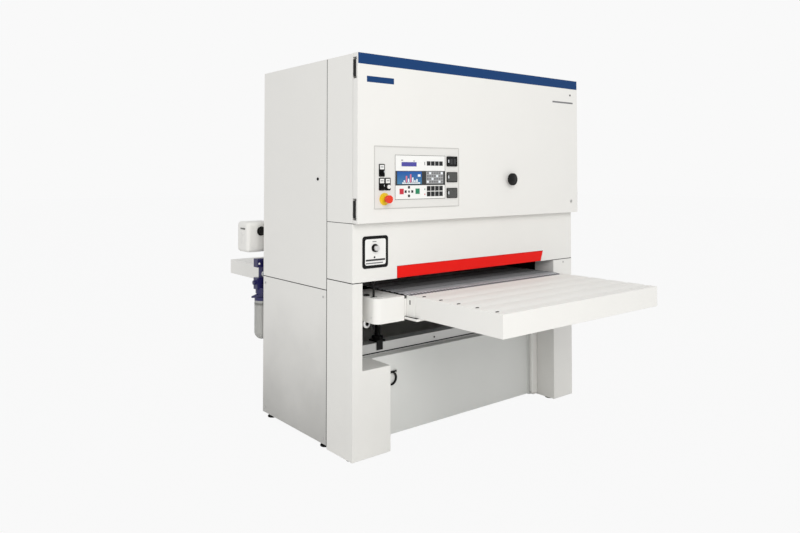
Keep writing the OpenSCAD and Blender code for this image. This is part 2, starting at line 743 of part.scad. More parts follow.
module door_lock() row() color("dimgray") on_front(cabinet_w - 54, -door_t - rest_gap, door_z + 71) {
    cylinder(h = 3, r = 9);
    translate([-2, -6, 0]) cube([4, 12, 5]);
}

module left_side_door() row() color("gainsboro") {
    difference() {
        translate([0, pillar_d + 2, side_split_z])
            tray([fold, side_panel_d, cabinet_h - 2 - side_split_z], sheet, [1, 0, 0]);
        for (z = side_lugs) translate([sheet + 1, cabinet_d - 12, z - (slot_h - lug_h) / 2])
            cube([fold, 20, slot_h]);
    }
    for (z = side_lugs, up = [-11, lug_h + 1]) difference() {
        translate([sheet - eps, side_pivot[1] - lug_r - 1, z + up]) cube([2 * lug_r + 2, 2 * lug_r + 2 + eps, 10]);
        translate([side_pivot[0], side_pivot[1], z + up - eps]) cylinder(h = 12, r = pin_r + run_gap);
    }
}

module side_door_lock() row() color("dimgray") on_left(-rest_gap, pillar_d + 84, side_split_z + 567) {
    cylinder(h = 3, r = 8);
    translate([-5, -1.5, 0]) cube([10, 3, 5]);
}

module fascia_switch() row() color("black") on_front(switch_at[0] + switch_plate / 2 - 5, -2 - rest_gap,
                                                      switch_at[1] + switch_plate / 2 + 20) {
    cylinder(h = 5, r = 20);
    cylinder(h = 10, r = 15);
    translate([-4, -16, 0]) cube([8, 32, 22]);
}

module red_flap() row() color("red") translate([0, 0, fascia_z + 2]) {
    translate([0, flap_t, 0]) rotate([90, 0, 0]) linear_extrude(flap_t) polygon([
        [flap_x, 0], [flap_x + flap_w - flap_slant, 0], [flap_x + flap_w - 1, flap_h - 2], [flap_x, flap_h - 2]
    ]);
    translate([flap_x + 20, flap_t - 0.5, flap_h - 20]) cube([flap_w - flap_slant - 40, 5, 16]);
    translate([flap_x + 20, flap_t - 0.5 + 2, flap_h - 8])
        cube([flap_w - flap_slant - 40, flap_axis[0] - flap_t, flap_axis[1] - flap_h + 6]);
    along_x(flap_x - 4, flap_x + flap_w - flap_slant + 4, flap_axis[0], flap_axis[1] - 2, flap_rod_r);
}

// A ring that hangs from a pin between the recessed panel's two ears
module panel_handle() row() color("black") {
    along_x(handle_at[0] - ring_r - 3, handle_at[0] + ring_r + 3, recess_y - 6 - rest_gap, handle_at[1], 4);
    on_front(handle_at[0], recess_y - rest_gap - 2, handle_at[1] - ring_r + 3) difference() {
        cylinder(h = 8, r = ring_r);
        translate([0, 0, -eps]) cylinder(h = 8 + 2 * eps, r = ring_r - 9);
    }
}

// ---- Conveyor ----

// The bed plate lies on two side rails and two cross rails, and pads join the rails to the side plates
module conveyor_bed() row() color("dimgray") {
    top = belt_z - belt_t - belt_gap;
    inner = [belt_x + 4, idler_y + roller_r + 8];
    bed_l = drive_y - idler_y - 2 * roller_r - 16;
    rail_h = bed_h - bed_wall - rest_gap;
    translate([inner[0], inner[1], top - bed_wall]) cube([belt_w - 8, bed_l, bed_wall]);
    for (x = [inner[0], belt_x + belt_w - 4 - bed_wall]) translate([x, inner[1], top - bed_h])
        cube([bed_wall, bed_l, rail_h]);
    for (y = [inner[1], inner[1] + bed_l - bed_wall])
        translate([inner[0] + bed_wall + rest_gap, y, top - bed_h])
            cube([belt_w - 8 - 2 * (bed_wall + rest_gap), bed_wall, rail_h]);
    for (y = [inner[1] + 30, inner[1] + bed_l / 2, inner[1] + bed_l - 90], side = [0, 1])
        translate([side == 0 ? plate_x[0] + plate_t + rest_gap : belt_x + belt_w - 4, y, top - bed_h])
            cube([plate_gap + 4 - rest_gap, 60, 20]);
    for (i = [0, 1]) {
        difference() {
            translate([plate_x[i], plate_y[0], plate_top - plate_h])
                cube([plate_w[i], plate_y[1] - plate_y[0], plate_h]);
            for (y = [idler_y, drive_y])
                along_x(plate_x[i] - eps, plate_x[i] + plate_t + eps, y, roller_z, roller_pin_r + run_gap);
        }
        table_bracket(i, extent_front + infeed_l - ledge_d, plate_y[0] - rest_gap, 0, belt_z - infeed_h);
        table_bracket(i, plate_y[1] + rest_gap, extent_rear - outfeed_l + ledge_d, 1, belt_z - outfeed_h);
    }
}

// A bar from y0 to y1 off the end of side plate i, with the ledge at one end that carries a table's skirt
module table_bracket(i, y0, y1, end, top) {
    translate([plate_x[i], y0, top - 12]) cube([plate_w[i], y1 - y0, 12]);
    translate([i == 0 ? plate_x[0] : plate_x[1] + plate_w[1] - ledge_w, end == 0 ? y0 : y1 - ledge_d, top - 12])
        cube([ledge_w, ledge_d, 12]);
}

module feed_belt() row() color("darkgray")
    belt(belt_x, belt_x + belt_w, [idler_y, roller_z], [drive_y, roller_z], roller_r, roller_r, belt_t);

module drive_roller() row() color("silver")
    roll(belt_x + 2, belt_w - 4, drive_y, roller_z, roller_r, roller_pin_r, plate_gap + plate_t + 2,
         plate_gap + plate_r_t + 60);

module idler_roller() row() color("silver")
    roll(belt_x + 2, belt_w - 4, idler_y, roller_z, roller_r, roller_pin_r, plate_gap + plate_t + 2,
         plate_gap + plate_r_t + 2);

module feed_gearmotor() row() color("slategray") {
    x = plate_x[1] + plate_r_t;
    difference() {
        translate([x, drive_y - 60, roller_z - 50]) cube([70, 110, 100]);
        along_x(x - eps, x + 66, drive_y, roller_z, roller_pin_r + run_gap);
    }
    translate([x + 55, drive_y - 60, roller_z]) rotate([90, 0, 0]) cylinder(h = 220, r = 42);
}

// A cheek at each end of the table covers the belt's nose
module infeed_table() row() color("whitesmoke") {
    translate([belt_x, extent_front, belt_z - infeed_h]) tray([belt_w, infeed_l, infeed_h], table_wall, [0, 0, -1]);
    back = extent_front + infeed_l;
    for (side = [-1, 1]) translate([belt_x + belt_w / 2 + side * (belt_w / 2 + 2), 0, belt_z - infeed_h]) {
        translate([-1.5, back - 30, 0]) cube([3, cover_y[0] - 1 - back + 30, infeed_h - 2]);
        translate([side > 0 ? -3 : 0, back - 30, 0]) cube([3, 28, infeed_h - 2]);
    }
}

module outfeed_table() row() color("whitesmoke")
    translate([outfeed_x, extent_rear - outfeed_l, belt_z - outfeed_h])
        tray([2 * (belt_x - outfeed_x) + belt_w, outfeed_l, outfeed_h], table_wall, [0, 0, -1]);

// Thin cover over the belt tracking gear, open behind, below and towards the belt
module left_end_cover() row() color("whitesmoke") {
    w = plate_x[0] - cover_x0;
    l = cover_y[1] - cover_y[0];
    r = 35;
    translate([cover_x0, cover_y[0], cover_z[0]]) difference() {
        linear_extrude(cover_z[1] - cover_z[0]) cover_outline(w, l, r);
        translate([0, 0, -eps]) linear_extrude(cover_z[1] - cover_z[0] - sheet + eps)
            translate([sheet, sheet]) cover_outline(w, l, r - sheet);
        translate([rod_xy[0] - cover_x0, rod_xy[1] - cover_y[0], 0]) {
            for (dx = [-10, 10]) translate([dx, 0, 50]) cylinder(h = 100, r = 13);
            translate([-10, -13, 50]) cube([20, 26, 100]);
        }
    }
}

module cover_outline(w, l, r) {
    translate([r, r]) circle(r);
    translate([r, 0]) square([w - r, l]);
    translate([0, r]) square([w, l - r]);
}

// Four screws hang from two cradle beams, which carry the conveyor's side plates
module lift_screws() row() color("dimgray") {
    for (x = screw_x, y = screw_y)
        translate([x, y, cradle_top - cradle - screw_drop]) cylinder(h = cradle + screw_drop - 2, r = screw_r);
    for (y = screw_y) difference() {
        translate([plate_x[0], y - cradle / 2, cradle_top - cradle])
            cube([plate_x[1] + plate_r_t - plate_x[0], cradle, cradle]);
        for (x = screw_x) translate([x, y, cradle_top - cradle - eps])
            cylinder(h = cradle + 2 * eps, r = screw_r + run_gap);
    }
}

module lift_nuts() row() color("black") for (x = screw_x, y = screw_y)
    translate([x, y, block_h + beam_h]) difference() {
        union() {
            cylinder(h = nut_h, r = nut_r);
            translate([-nut_r, -beam_d / 2, 0]) cube([2 * nut_r, beam_d, 8]);
        }
        translate([0, 0, -eps]) cylinder(h = nut_h + 2 * eps, r = screw_r + run_gap);
    }

side_frames();
cross_beams();
left_front_leg();
right_front_leg();
left_lower_panel();
right_side_panel();
left_front_pillar();
right_front_pillar();
fascia();
rear_lower_panel();
rear_upper_panel();
top_cover();
recessed_panel();
levelling_feet();
fascia_plate();
dust_hood();
main_motor();
air_unit();
air_bowl();
rear_box();
unit_frames();
height_stop_rod();
lift_nuts();
abrasive_belts();
drive_belts();
cover_screws();
front_door();
control_bezel();
keypad_plate();
panel_meters();
legend_plates();
estop_collar();
estop_button();
push_button();
upper_selector();
lower_selector();
door_knob();
door_lock();
left_side_door();
side_door_lock();
fascia_switch();
red_flap();
air_lever();
panel_handle();
rear_box_knob();
conveyor_bed();
feed_belt();
infeed_table();
outfeed_table();
left_end_cover();
lift_screws();
feed_gearmotor();
drive_roller();
idler_roller();
front_drum();
rear_drum();
front_tension_roller();
rear_tension_roller();
pressure_roller();
motor_pulley();
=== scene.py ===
import json
import math

import bpy
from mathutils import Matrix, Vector


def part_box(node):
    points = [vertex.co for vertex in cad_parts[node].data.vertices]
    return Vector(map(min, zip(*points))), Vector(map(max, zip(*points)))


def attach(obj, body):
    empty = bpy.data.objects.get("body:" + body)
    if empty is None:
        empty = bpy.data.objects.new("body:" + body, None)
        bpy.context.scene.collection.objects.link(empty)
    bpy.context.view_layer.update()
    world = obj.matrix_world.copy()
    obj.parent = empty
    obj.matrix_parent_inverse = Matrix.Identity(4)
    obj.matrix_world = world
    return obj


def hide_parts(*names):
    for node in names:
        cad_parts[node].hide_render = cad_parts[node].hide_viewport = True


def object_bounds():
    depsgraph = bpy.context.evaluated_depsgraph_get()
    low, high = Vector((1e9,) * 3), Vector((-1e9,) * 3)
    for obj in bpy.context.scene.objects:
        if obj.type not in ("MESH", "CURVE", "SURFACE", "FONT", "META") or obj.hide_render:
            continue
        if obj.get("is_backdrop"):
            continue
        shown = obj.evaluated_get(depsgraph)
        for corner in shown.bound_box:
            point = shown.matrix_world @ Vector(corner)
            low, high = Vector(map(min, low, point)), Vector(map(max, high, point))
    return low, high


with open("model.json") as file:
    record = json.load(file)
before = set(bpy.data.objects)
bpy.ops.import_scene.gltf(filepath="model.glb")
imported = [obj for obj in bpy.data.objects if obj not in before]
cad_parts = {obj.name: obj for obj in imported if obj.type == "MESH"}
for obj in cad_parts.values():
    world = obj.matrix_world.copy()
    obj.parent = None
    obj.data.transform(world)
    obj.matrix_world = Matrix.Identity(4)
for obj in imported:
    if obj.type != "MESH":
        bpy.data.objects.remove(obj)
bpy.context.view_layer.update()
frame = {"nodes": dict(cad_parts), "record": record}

node = frame["nodes"]


# ---- Side frames, cross beams and feet ----
# Two dark steel plates stand inside the cabinet on round rubber feet, with zinc-plated beams welded
# between them. The coat group gives every painted or moulded surface its grain, mottling and wear,
# and paints shade that darkens the colour towards the floor, as much as each material asks.

def tone(red, green, blue):
    """A colour given in steps of 0 to 255, as the linear colour that a socket takes."""
    steps = (red, green, blue)
    return tuple(((c / 255 + 0.055) / 1.055) ** 2.4 if c > 10 else c / 3295 for c in steps) + (1.0,)


def begin_group(name, inputs, outputs):
    group = bpy.data.node_groups.new(name, "ShaderNodeTree")
    for label, kind, value in inputs:
        socket = group.interface.new_socket(label, in_out="INPUT", socket_type="NodeSocket" + kind)
        socket.default_value = value
    for label, kind in outputs:
        group.interface.new_socket(label, in_out="OUTPUT", socket_type="NodeSocket" + kind)
    return group, group.nodes.new("NodeGroupInput"), group.nodes.new("NodeGroupOutput")


def add(tree, kind, wires=(), **settings):
    """A new node with its settings, and its inputs by name or number wired or set."""
    made = tree.nodes.new("ShaderNode" + kind)
    for key, value in settings.items():
        setattr(made, key, value)
    for key, value in dict(wires).items():
        if hasattr(value, "is_linked"):
            tree.links.new(value, made.inputs[key])
        else:
            made.inputs[key].default_value = value
    return made


coat, ins, outs = begin_group(
    "coat",
    [("Colour", "Color", (0.8, 0.8, 0.8, 1)), ("Gloss", "Float", 0.4), ("Grain", "Float", 700.0),
     ("Depth", "Float", 0.15), ("Mottle", "Float", 0.03), ("Wear", "Float", 0.2),
     ("Worn", "Color", (0.5, 0.5, 0.5, 1)), ("Foot", "Float", 0.0)],
    [("Colour", "Color"), ("Roughness", "Float"), ("Normal", "Vector")])
where = add(coat, "TexCoord")
fine = add(coat, "TexNoise", {"Vector": where.outputs["Object"], "Scale": ins.outputs["Grain"], "Detail": 2.0})
broad = add(coat, "TexNoise", {"Vector": where.outputs["Object"], "Scale": 3.2, "Detail": 4.0})
smudge = add(coat, "TexNoise", {"Vector": where.outputs["Object"], "Scale": 21.0, "Detail": 5.0,
                                "Roughness": 0.7})
centred = add(coat, "Math", {0: broad.outputs["Fac"], 1: 0.5}, operation="SUBTRACT")
swing = add(coat, "Math", {0: centred.outputs[0], 1: ins.outputs["Mottle"], 2: 1.0}, operation="MULTIPLY_ADD")
mottled = add(coat, "VectorMath", {0: ins.outputs["Colour"], 1: swing.outputs[0]}, operation="MULTIPLY")
rounded = add(coat, "Bevel", {"Radius": 0.0016}, samples=4)
flat = add(coat, "NewGeometry")
same = add(coat, "VectorMath", {0: rounded.outputs[0], 1: flat.outputs["Normal"]}, operation="DOT_PRODUCT")
edge = add(coat, "MapRange", {"Value": same.outputs["Value"], "From Min": 0.995, "From Max": 0.9})
patchy = add(coat, "MapRange", {"Value": smudge.outputs["Fac"], "From Min": 0.52, "From Max": 0.66})
rubbed = add(coat, "Math", {0: edge.outputs[0], 1: patchy.outputs[0]}, operation="MULTIPLY")
worn = add(coat, "Math", {0: rubbed.outputs[0], 1: ins.outputs["Wear"]}, operation="MULTIPLY")
# Painted shade: the colour darkens towards the floor, by height shifted by broad noise, by the amount each
# material sets.
height = add(coat, "SeparateXYZ", {0: where.outputs["Object"]})
rise = add(coat, "Math", {0: broad.outputs["Fac"], 1: 0.35, 2: height.outputs["Z"]}, operation="MULTIPLY_ADD")
near_floor = add(coat, "MapRange", {"Value": rise.outputs[0], "From Min": 0.95, "From Max": 0.1},
                 interpolation_type="SMOOTHSTEP")
painted_floor_shade = add(coat, "Math", {0: near_floor.outputs[0], 1: ins.outputs["Foot"]}, operation="MULTIPLY")
kept = add(coat, "Math", {0: 1.0, 1: painted_floor_shade.outputs[0]}, operation="SUBTRACT")
based = add(coat, "VectorMath", {0: mottled.outputs[0], 1: kept.outputs[0]}, operation="MULTIPLY")
mixed = coat.nodes.new("ShaderNodeMix")
mixed.data_type = "RGBA"
coat.links.new(worn.outputs[0], mixed.inputs[0])
coat.links.new(based.outputs[0], mixed.inputs[6])
coat.links.new(ins.outputs["Worn"], mixed.inputs[7])
dull = add(coat, "Math", {0: smudge.outputs["Fac"], 1: 0.16, 2: -0.08}, operation="MULTIPLY_ADD")
rough = add(coat, "Math", {0: ins.outputs["Gloss"], 1: dull.outputs[0]}, operation="ADD")
skin = add(coat, "Bump", {"Strength": ins.outputs["Depth"], "Distance": 0.0004, "Height": fine.outputs["Fac"]})
coat.links.new(mixed.outputs[2], outs.inputs["Colour"])
coat.links.new(rough.outputs[0], outs.inputs["Roughness"])
coat.links.new(skin.outputs[0], outs.inputs["Normal"])


def material(name, group, metal=0.0, shine=0.5, **sockets):
    """A material whose Principled shader is fed by one of the groups."""
    made = bpy.data.materials.new(name)
    made.use_nodes = True
    tree = made.node_tree
    shader = tree.nodes["Principled BSDF"]
    source = add(tree, "Group", node_tree=group)
    for label, value in sockets.items():
        source.inputs[label].default_value = value
    for ours, theirs in (("Colour", "Base Color"), ("Roughness", "Roughness"), ("Normal", "Normal")):
        tree.links.new(source.outputs[ours], shader.inputs[theirs])
    shader.inputs["Metallic"].default_value = metal
    shader.inputs["Specular IOR Level"].default_value = shine
    return made


def finish(part, made, width=0.0015, steps=2):
    """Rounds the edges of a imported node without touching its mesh, and gives it its material."""
    target = node[part]
    weld = target.modifiers.new("Weld", "WELD")
    weld.merge_threshold = 0.00001
    if width:
        bevel = target.modifiers.new("Bevel", "BEVEL")
        bevel.width = width
        bevel.segments = steps
        bevel.limit_method = "ANGLE"
        bevel.angle_limit = math.radians(38)
    target.modifiers.new("Normals", "WEIGHTED_NORMAL")
    if not target.material_slots:
        target.data.materials.append(made)
    for place in target.material_slots:
        place.material = made


dark_frame = material("dark_frame", coat, shine=0.08, Colour=tone(11, 10, 9), Gloss=0.65, Mottle=0.4, Wear=0.3)
zinc = material("zinc", coat, metal=0.7, Colour=tone(196, 196, 194), Gloss=0.38, Grain=260.0, Mottle=0.25,
                Worn=tone(225, 225, 225))
black_rubber = material("black_rubber", coat, shine=0.2, Colour=tone(26, 26, 27), Gloss=0.75, Grain=500.0,
                        Depth=0.4)
finish("side_frames", dark_frame)
finish("cross_beams", zinc)
finish("levelling_feet", black_rubber)


# ---- Legs, panels and pillars ----
# Folded steel sheet with a fine powder coat, held to the side frames by small zinc screws.
# The side panels are a little greyer than the front. The lower ones get painted shade that darkens
# them towards the floor, and the white front paint and the recessed panel get a little of it.
front_white = material("front_white", coat, Colour=tone(232, 231, 227), Gloss=0.52, Worn=tone(190, 189, 186),
                       Foot=0.08)
side_white = material("side_white", coat, Colour=tone(230, 229, 225), Gloss=0.52, Worn=tone(188, 187, 184))
lower_grey = material("lower_grey", coat, Colour=tone(228, 227, 223), Gloss=0.5, Worn=tone(170, 170, 168),
                      Foot=0.42)
recess_grey = material("recess_grey", coat, Colour=tone(226, 227, 224), Gloss=0.5, Worn=tone(170, 170, 168),
                       Foot=0.1)
for part in ("left_front_leg", "right_front_leg", "left_front_pillar", "right_front_pillar", "top_cover"):
    finish(part, front_white)
for part in ("right_side_panel", "rear_lower_panel", "rear_upper_panel", "left_side_door"):
    finish(part, side_white)
finish("left_lower_panel", lower_grey)
finish("recessed_panel", recess_grey)
finish("cover_screws", zinc, 0.0006)


def solid(name, low, high, edge=0.0, steps=2):
    """A block from corner to corner with its edges rounded, shaped in edit mode."""
    bpy.ops.object.select_all(action="DESELECT")
    bpy.ops.mesh.primitive_cube_add(size=1)
    piece = bpy.context.object
    piece.name = name
    low, high = Vector(low), Vector(high)
    bpy.ops.object.mode_set(mode="EDIT")
    bpy.ops.mesh.select_all(action="SELECT")
    bpy.ops.transform.resize(value=high - low)
    bpy.ops.transform.translate(value=(low + high) / 2)
    if edge:
        bpy.ops.mesh.bevel(offset=edge, segments=steps, affect="EDGES", clamp_overlap=True)
    bpy.ops.object.mode_set(mode="OBJECT")
    bpy.ops.object.shade_smooth_by_angle(angle=math.radians(35))
    return piece


def turned(name, rings, at, turn=(0, 0, 0), around=32):
    """A turned piece: rings of (radius, height) drawn up from a disc, then turned to face its way."""
    bpy.ops.object.select_all(action="DESELECT")
    bpy.ops.mesh.primitive_circle_add(vertices=around, radius=rings[0][0], fill_type="NGON")
    piece = bpy.context.object
    piece.name = name
    radius, height = rings[0]
    bpy.ops.object.mode_set(mode="EDIT")
    bpy.ops.mesh.select_all(action="SELECT")
    bpy.ops.transform.translate(value=(0, 0, height))
    for wide, high in rings[1:]:
        bpy.ops.mesh.extrude_region_move(TRANSFORM_OT_translate={"value": (0, 0, high - height)})
        bpy.ops.transform.resize(value=(wide / radius, wide / radius, 1))
        radius, height = wide, high
    bpy.ops.mesh.select_all(action="SELECT")
    bpy.ops.mesh.normals_make_consistent(inside=False)
    bpy.ops.object.mode_set(mode="OBJECT")
    piece.rotation_euler = turn
    piece.location = at
    bpy.ops.object.transform_apply(location=True, rotation=True, scale=True)
    bpy.ops.object.shade_smooth_by_angle(angle=math.radians(35))
    return piece


def fit(piece, made, body):
    """The piece gets its material and its CAD body."""
    piece.data.materials.clear()
    piece.data.materials.append(made)
    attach(piece, body)
    return piece


FRONT = (math.radians(90), 0, 0)
LEFT = (0, math.radians(-90), 0)

socket_black = material("socket_black", coat, shine=0.2, Colour=tone(22, 22, 22), Gloss=0.5)


# Black strips stand just behind the seams between the legs, the fascia, the pillars and the side panels:
# painted shade that darkens the gaps.
leg_low, leg_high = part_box("left_front_leg")
post_low, post_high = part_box("left_front_pillar")
right_low, right_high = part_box("right_front_leg")
fas_low, fas_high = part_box("fascia")
lower_low, lower_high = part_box("left_lower_panel")
side_low, side_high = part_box("left_side_door")
hide = 0.0004
side_foot = 0.024
for name, low, high in (
        ("seam_shadow_upright", (leg_low.x + hide, leg_high.y + 0.0003, side_foot),
         (leg_low.x + 0.006, lower_low.y - 0.0006, post_high.z - 0.002)),
        ("seam_shadow_side", (lower_low.x + hide, lower_low.y + 0.001, lower_high.z + 0.0002),
         (lower_low.x + 0.008, lower_high.y - 0.001, side_low.z - 0.0003)),
        ("seam_shadow_left_leg", (leg_low.x + hide, leg_low.y + hide, leg_high.z + 0.0002),
         (post_high.x - 0.001, leg_high.y - 0.001, fas_low.z - 0.0002)),
        ("seam_shadow_right_leg", (right_low.x + 0.001, right_low.y + hide, right_high.z + 0.0002),
         (right_high.x - hide, right_high.y - 0.001, fas_low.z - 0.0002)),
        ("seam_shadow_pillar", (leg_low.x + hide, leg_low.y + hide, fas_high.z + 0.0002),
         (post_high.x - 0.001, leg_high.y - 0.001, post_low.z - 0.0002))):
    fit(solid(name, low, high), socket_black, "frame")

# A round-edged post fills the corner between the recessed panel and the right leg
panel_low, panel_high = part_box("recessed_panel")
post = solid("corner_post", (right_low.x - 0.063, panel_low.y - 0.022, panel_low.z + 0.001),
             (right_low.x - 0.0005, panel_low.y - 0.0002, panel_high.z))
for line in post.data.edges:
    a, b = (post.data.vertices[i].co for i in line.vertices)
    line.select = abs(a.z - b.z) > 0.1 and a.y < panel_low.y - 0.01 and a.x < right_low.x - 0.03
bpy.ops.object.mode_set(mode="EDIT")
bpy.ops.mesh.select_mode(type="EDGE")
bpy.ops.mesh.bevel(offset=0.018, segments=6, affect="EDGES")
bpy.ops.object.mode_set(mode="OBJECT")
fit(post, front_white, "frame")


# ---- Fascia, switch plate and red flap ----
# The fascia is a folded sheet over the feed opening, with a red steel flap hinged behind its lower edge.
# The switch plate is a black moulded frame round a pale label, with a small selector, a lamp and a slot.
finish("fascia", front_white)
black_plastic = material("black_plastic", coat, shine=0.2, Colour=tone(13, 13, 13), Gloss=0.5, Grain=900.0,
                         Depth=0.3)
label_white = material("label_white", coat, Colour=tone(238, 238, 235), Gloss=0.35, Depth=0.05)
mark_grey = material("mark_grey", coat, Colour=tone(120, 120, 122), Gloss=0.5, Depth=0.05)
silver = material("silver", coat, metal=0.6, Colour=tone(226, 226, 225), Gloss=0.3, Depth=0.05)
finish("fascia_plate", black_plastic, 0.0008)
plate_low, plate_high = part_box("fascia_plate")
frame_w = 0.0155
label = solid("fascia_label", (plate_low.x + frame_w, plate_low.y - 0.0006, plate_low.z + frame_w),
              (plate_high.x - frame_w, plate_low.y + 0.0004, plate_high.z - frame_w))
bpy.ops.object.mode_set(mode="EDIT")
bpy.ops.mesh.select_all(action="DESELECT")
bpy.ops.object.mode_set(mode="OBJECT")
for line in label.data.edges:
    a, b = (label.data.vertices[i].co for i in line.vertices)
    line.select = abs(a.y - b.y) > 0.0005
bpy.ops.object.mode_set(mode="EDIT")
bpy.ops.mesh.select_mode(type="EDGE")
bpy.ops.mesh.bevel(offset=0.011, segments=5, affect="EDGES")
bpy.ops.object.mode_set(mode="OBJECT")
fit(label, label_white, "frame")
middle = (plate_low.x + plate_high.x) / 2 - 0.007
face = plate_low.y - 0.0006
fit(turned("fascia_lamp", [(0.0045, 0), (0.0045, 0.002), (0.003, 0.003)],
           (middle, face, plate_low.z + 0.054), FRONT, 16), socket_black, "frame")
band_dark = material("band_dark", coat, shine=0.2, Colour=tone(60, 60, 60), Gloss=0.5, Depth=0.1)
fit(solid("fascia_slot", (plate_low.x + 0.020, face - 0.0006, plate_low.z + 0.036),
          (plate_high.x - 0.020, face, plate_low.z + 0.045)), band_dark, "frame")
fit(solid("fascia_slot_low", (plate_low.x + 0.020, face - 0.0006, plate_low.z + 0.022),
          (plate_high.x - 0.034, face, plate_low.z + 0.028)), mark_grey, "frame")
fit(solid("fascia_arrow", (middle - 0.012, face - 0.0005, plate_high.z - 0.03),
          (middle + 0.012, face, plate_high.z - 0.026)), mark_grey, "frame")
finish("fascia_switch", black_plastic, 0.001)
knob_low, knob_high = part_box("fascia_switch")
knob_mid = (knob_low + knob_high) / 2
fit(turned("fascia_switch_cap", [(0.0135, 0), (0.0135, 0.014), (0.011, 0.017)],
           (knob_mid.x + 0.001, knob_high.y - 0.0105, knob_mid.z), FRONT, 24),
    silver, "fascia_switch")

red_paint = material("red_paint", coat, shine=0.15, Colour=tone(234, 22, 14), Gloss=0.5,
                     Worn=tone(150, 40, 30))
finish("red_flap", red_paint, 0.0008)
finish("height_stop_rod", black_plastic)
flap_low, flap_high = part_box("red_flap")
# A black sheet behind the red flap: painted shade that darkens the back of the feed opening. It also blocks
# light there.
shade_sheet_t = 0.004
shade_sheet_y = flap_high.y + 0.035
fit(solid("feed_shade_sheet", (flap_low.x + 0.03, shade_sheet_y, flap_low.z - 0.0025),
          (flap_high.x + 0.07, shade_sheet_y + shade_sheet_t, flap_high.z + 0.004)),
    black_rubber, "frame")


# ---- Front door ----
# A wide shallow tray of powder-coated sheet that hangs on two arms at its left end. It has a blue strip
# along its top, two plain plates, a black moulded knob and a quarter-turn lock.
finish("front_door", front_white, 0.002, 3)
door_low, door_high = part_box("front_door")
blue = material("blue", coat, shine=0.15, Colour=tone(20, 60, 110), Gloss=0.5, Worn=tone(90, 110, 140))
meter_black = material("meter_black", coat, shine=0.3, Colour=tone(12, 12, 12), Gloss=0.12, Depth=0.02)
strip_h = 0.055
proud = 0.0006
sunk = 0.0005
plate_edge = 0.0004
for name, x0, x1, z0, z1, made in (
        ("blue_strip", door_low.x + 0.002, door_high.x - 0.003, door_high.z - strip_h, door_high.z - 0.0012,
         blue),
        ("name_plate", door_low.x + 0.055, door_low.x + 0.225, door_high.z - 0.142, door_high.z - 0.112,
         blue),
        ("model_plate", door_high.x - 0.245, door_high.x - 0.045, door_high.z - 0.150, door_high.z - 0.140,
         mark_grey)):
    fit(solid(name, (x0, door_low.y - proud, z0), (x1, door_low.y + sunk, z1), plate_edge, 1),
        made, "front_door")
finish("door_knob", black_plastic, 0.002, 3)
finish("door_lock", zinc, 0.0006)
knob_low, knob_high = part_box("door_knob")
knob_mid = (knob_low + knob_high) / 2
fit(turned("door_knob_hub", [(0.0245, 0), (0.0245, 0.0155)],
           (knob_mid.x, door_low.y - 0.0004, knob_mid.z), FRONT), silver, "door_knob")
fit(turned("door_knob_face", [(0.028, 0), (0.027, 0.0006)],
           (knob_mid.x, knob_low.y + 0.0001, knob_mid.z), FRONT), meter_black, "door_knob")
fit(turned("door_dot", [(0.006, 0), (0.006, 0.001), (0.005, 0.0015)],
           (door_high.x - 0.071, door_low.y, door_high.z - 0.095), FRONT, 16),
    socket_black, "front_door")


# Dark caps on the arms that the door hangs from, seen through the slots in its edge
joints = {joint["name"]: joint for joint in frame["record"]["behaviour"]["joints"]}
hinge_x, hinge_y, _ = joints["front_door_hinge"]["pos_m"]
cap_h = 0.084
for name, foot in (("low", door_low.z + 0.027), ("high", door_high.z - 0.116)):
    fit(solid(f"hinge_cap_{name}", (door_low.x + 0.0006, hinge_y + 0.0105, foot),
              (hinge_x - 0.0048, fas_low.y - 0.003, foot + cap_h)), socket_black, "frame")


# ---- Control panel ----
# A raised painted frame round a shallow pocket, screwed to the door. The keypad is one printed film
# with a display, a screen and soft keys.
bezel_paint = material("bezel_paint", coat, Colour=tone(226, 225, 221), Worn=tone(180, 180, 176))
film = material("film", coat, Colour=tone(240, 240, 237), Gloss=0.3, Depth=0.08, Grain=1500.0)
finish("control_bezel", bezel_paint, 0.0012)
finish("keypad_plate", film, 0.0006)
pad_low, pad_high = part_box("keypad_plate")
pad_face = pad_low.y
key_black = material("key_black", coat, shine=0.2, Colour=tone(40, 41, 42), Gloss=0.45, Depth=0.1)
band_grey = material("band_grey", coat, shine=0.2, Colour=tone(58, 60, 60), Gloss=0.35, Depth=0.08)
pale_key = material("pale_key", coat, Colour=tone(168, 170, 170), Gloss=0.4, Depth=0.08)
red_key = material("red_key", coat, Colour=tone(196, 38, 58), Gloss=0.4, Depth=0.1)
green_key = material("green_key", coat, Colour=tone(24, 130, 88), Gloss=0.4, Depth=0.1)
lcd_blue = material("lcd_blue", coat, Colour=tone(74, 72, 156), Gloss=0.15, Depth=0.02)
pink = material("pink", coat, Colour=tone(220, 120, 140), Gloss=0.3, Depth=0.02)
screen_white = material("screen_white", coat, Colour=tone(235, 240, 244), Gloss=0.3, Depth=0.02)


def on_pad(name, x0, x1, z0, z1, made, high=0.0012, over=0.0, edge=0.0004):
    """A flat piece on the film, placed from the film's lower left corner."""
    piece = solid(name, (pad_low.x + x0, pad_face - over - high, pad_low.z + z0),
                  (pad_low.x + x1, pad_face - over + 0.0003, pad_low.z + z1), edge, 1)
    return fit(piece, made, "front_door")


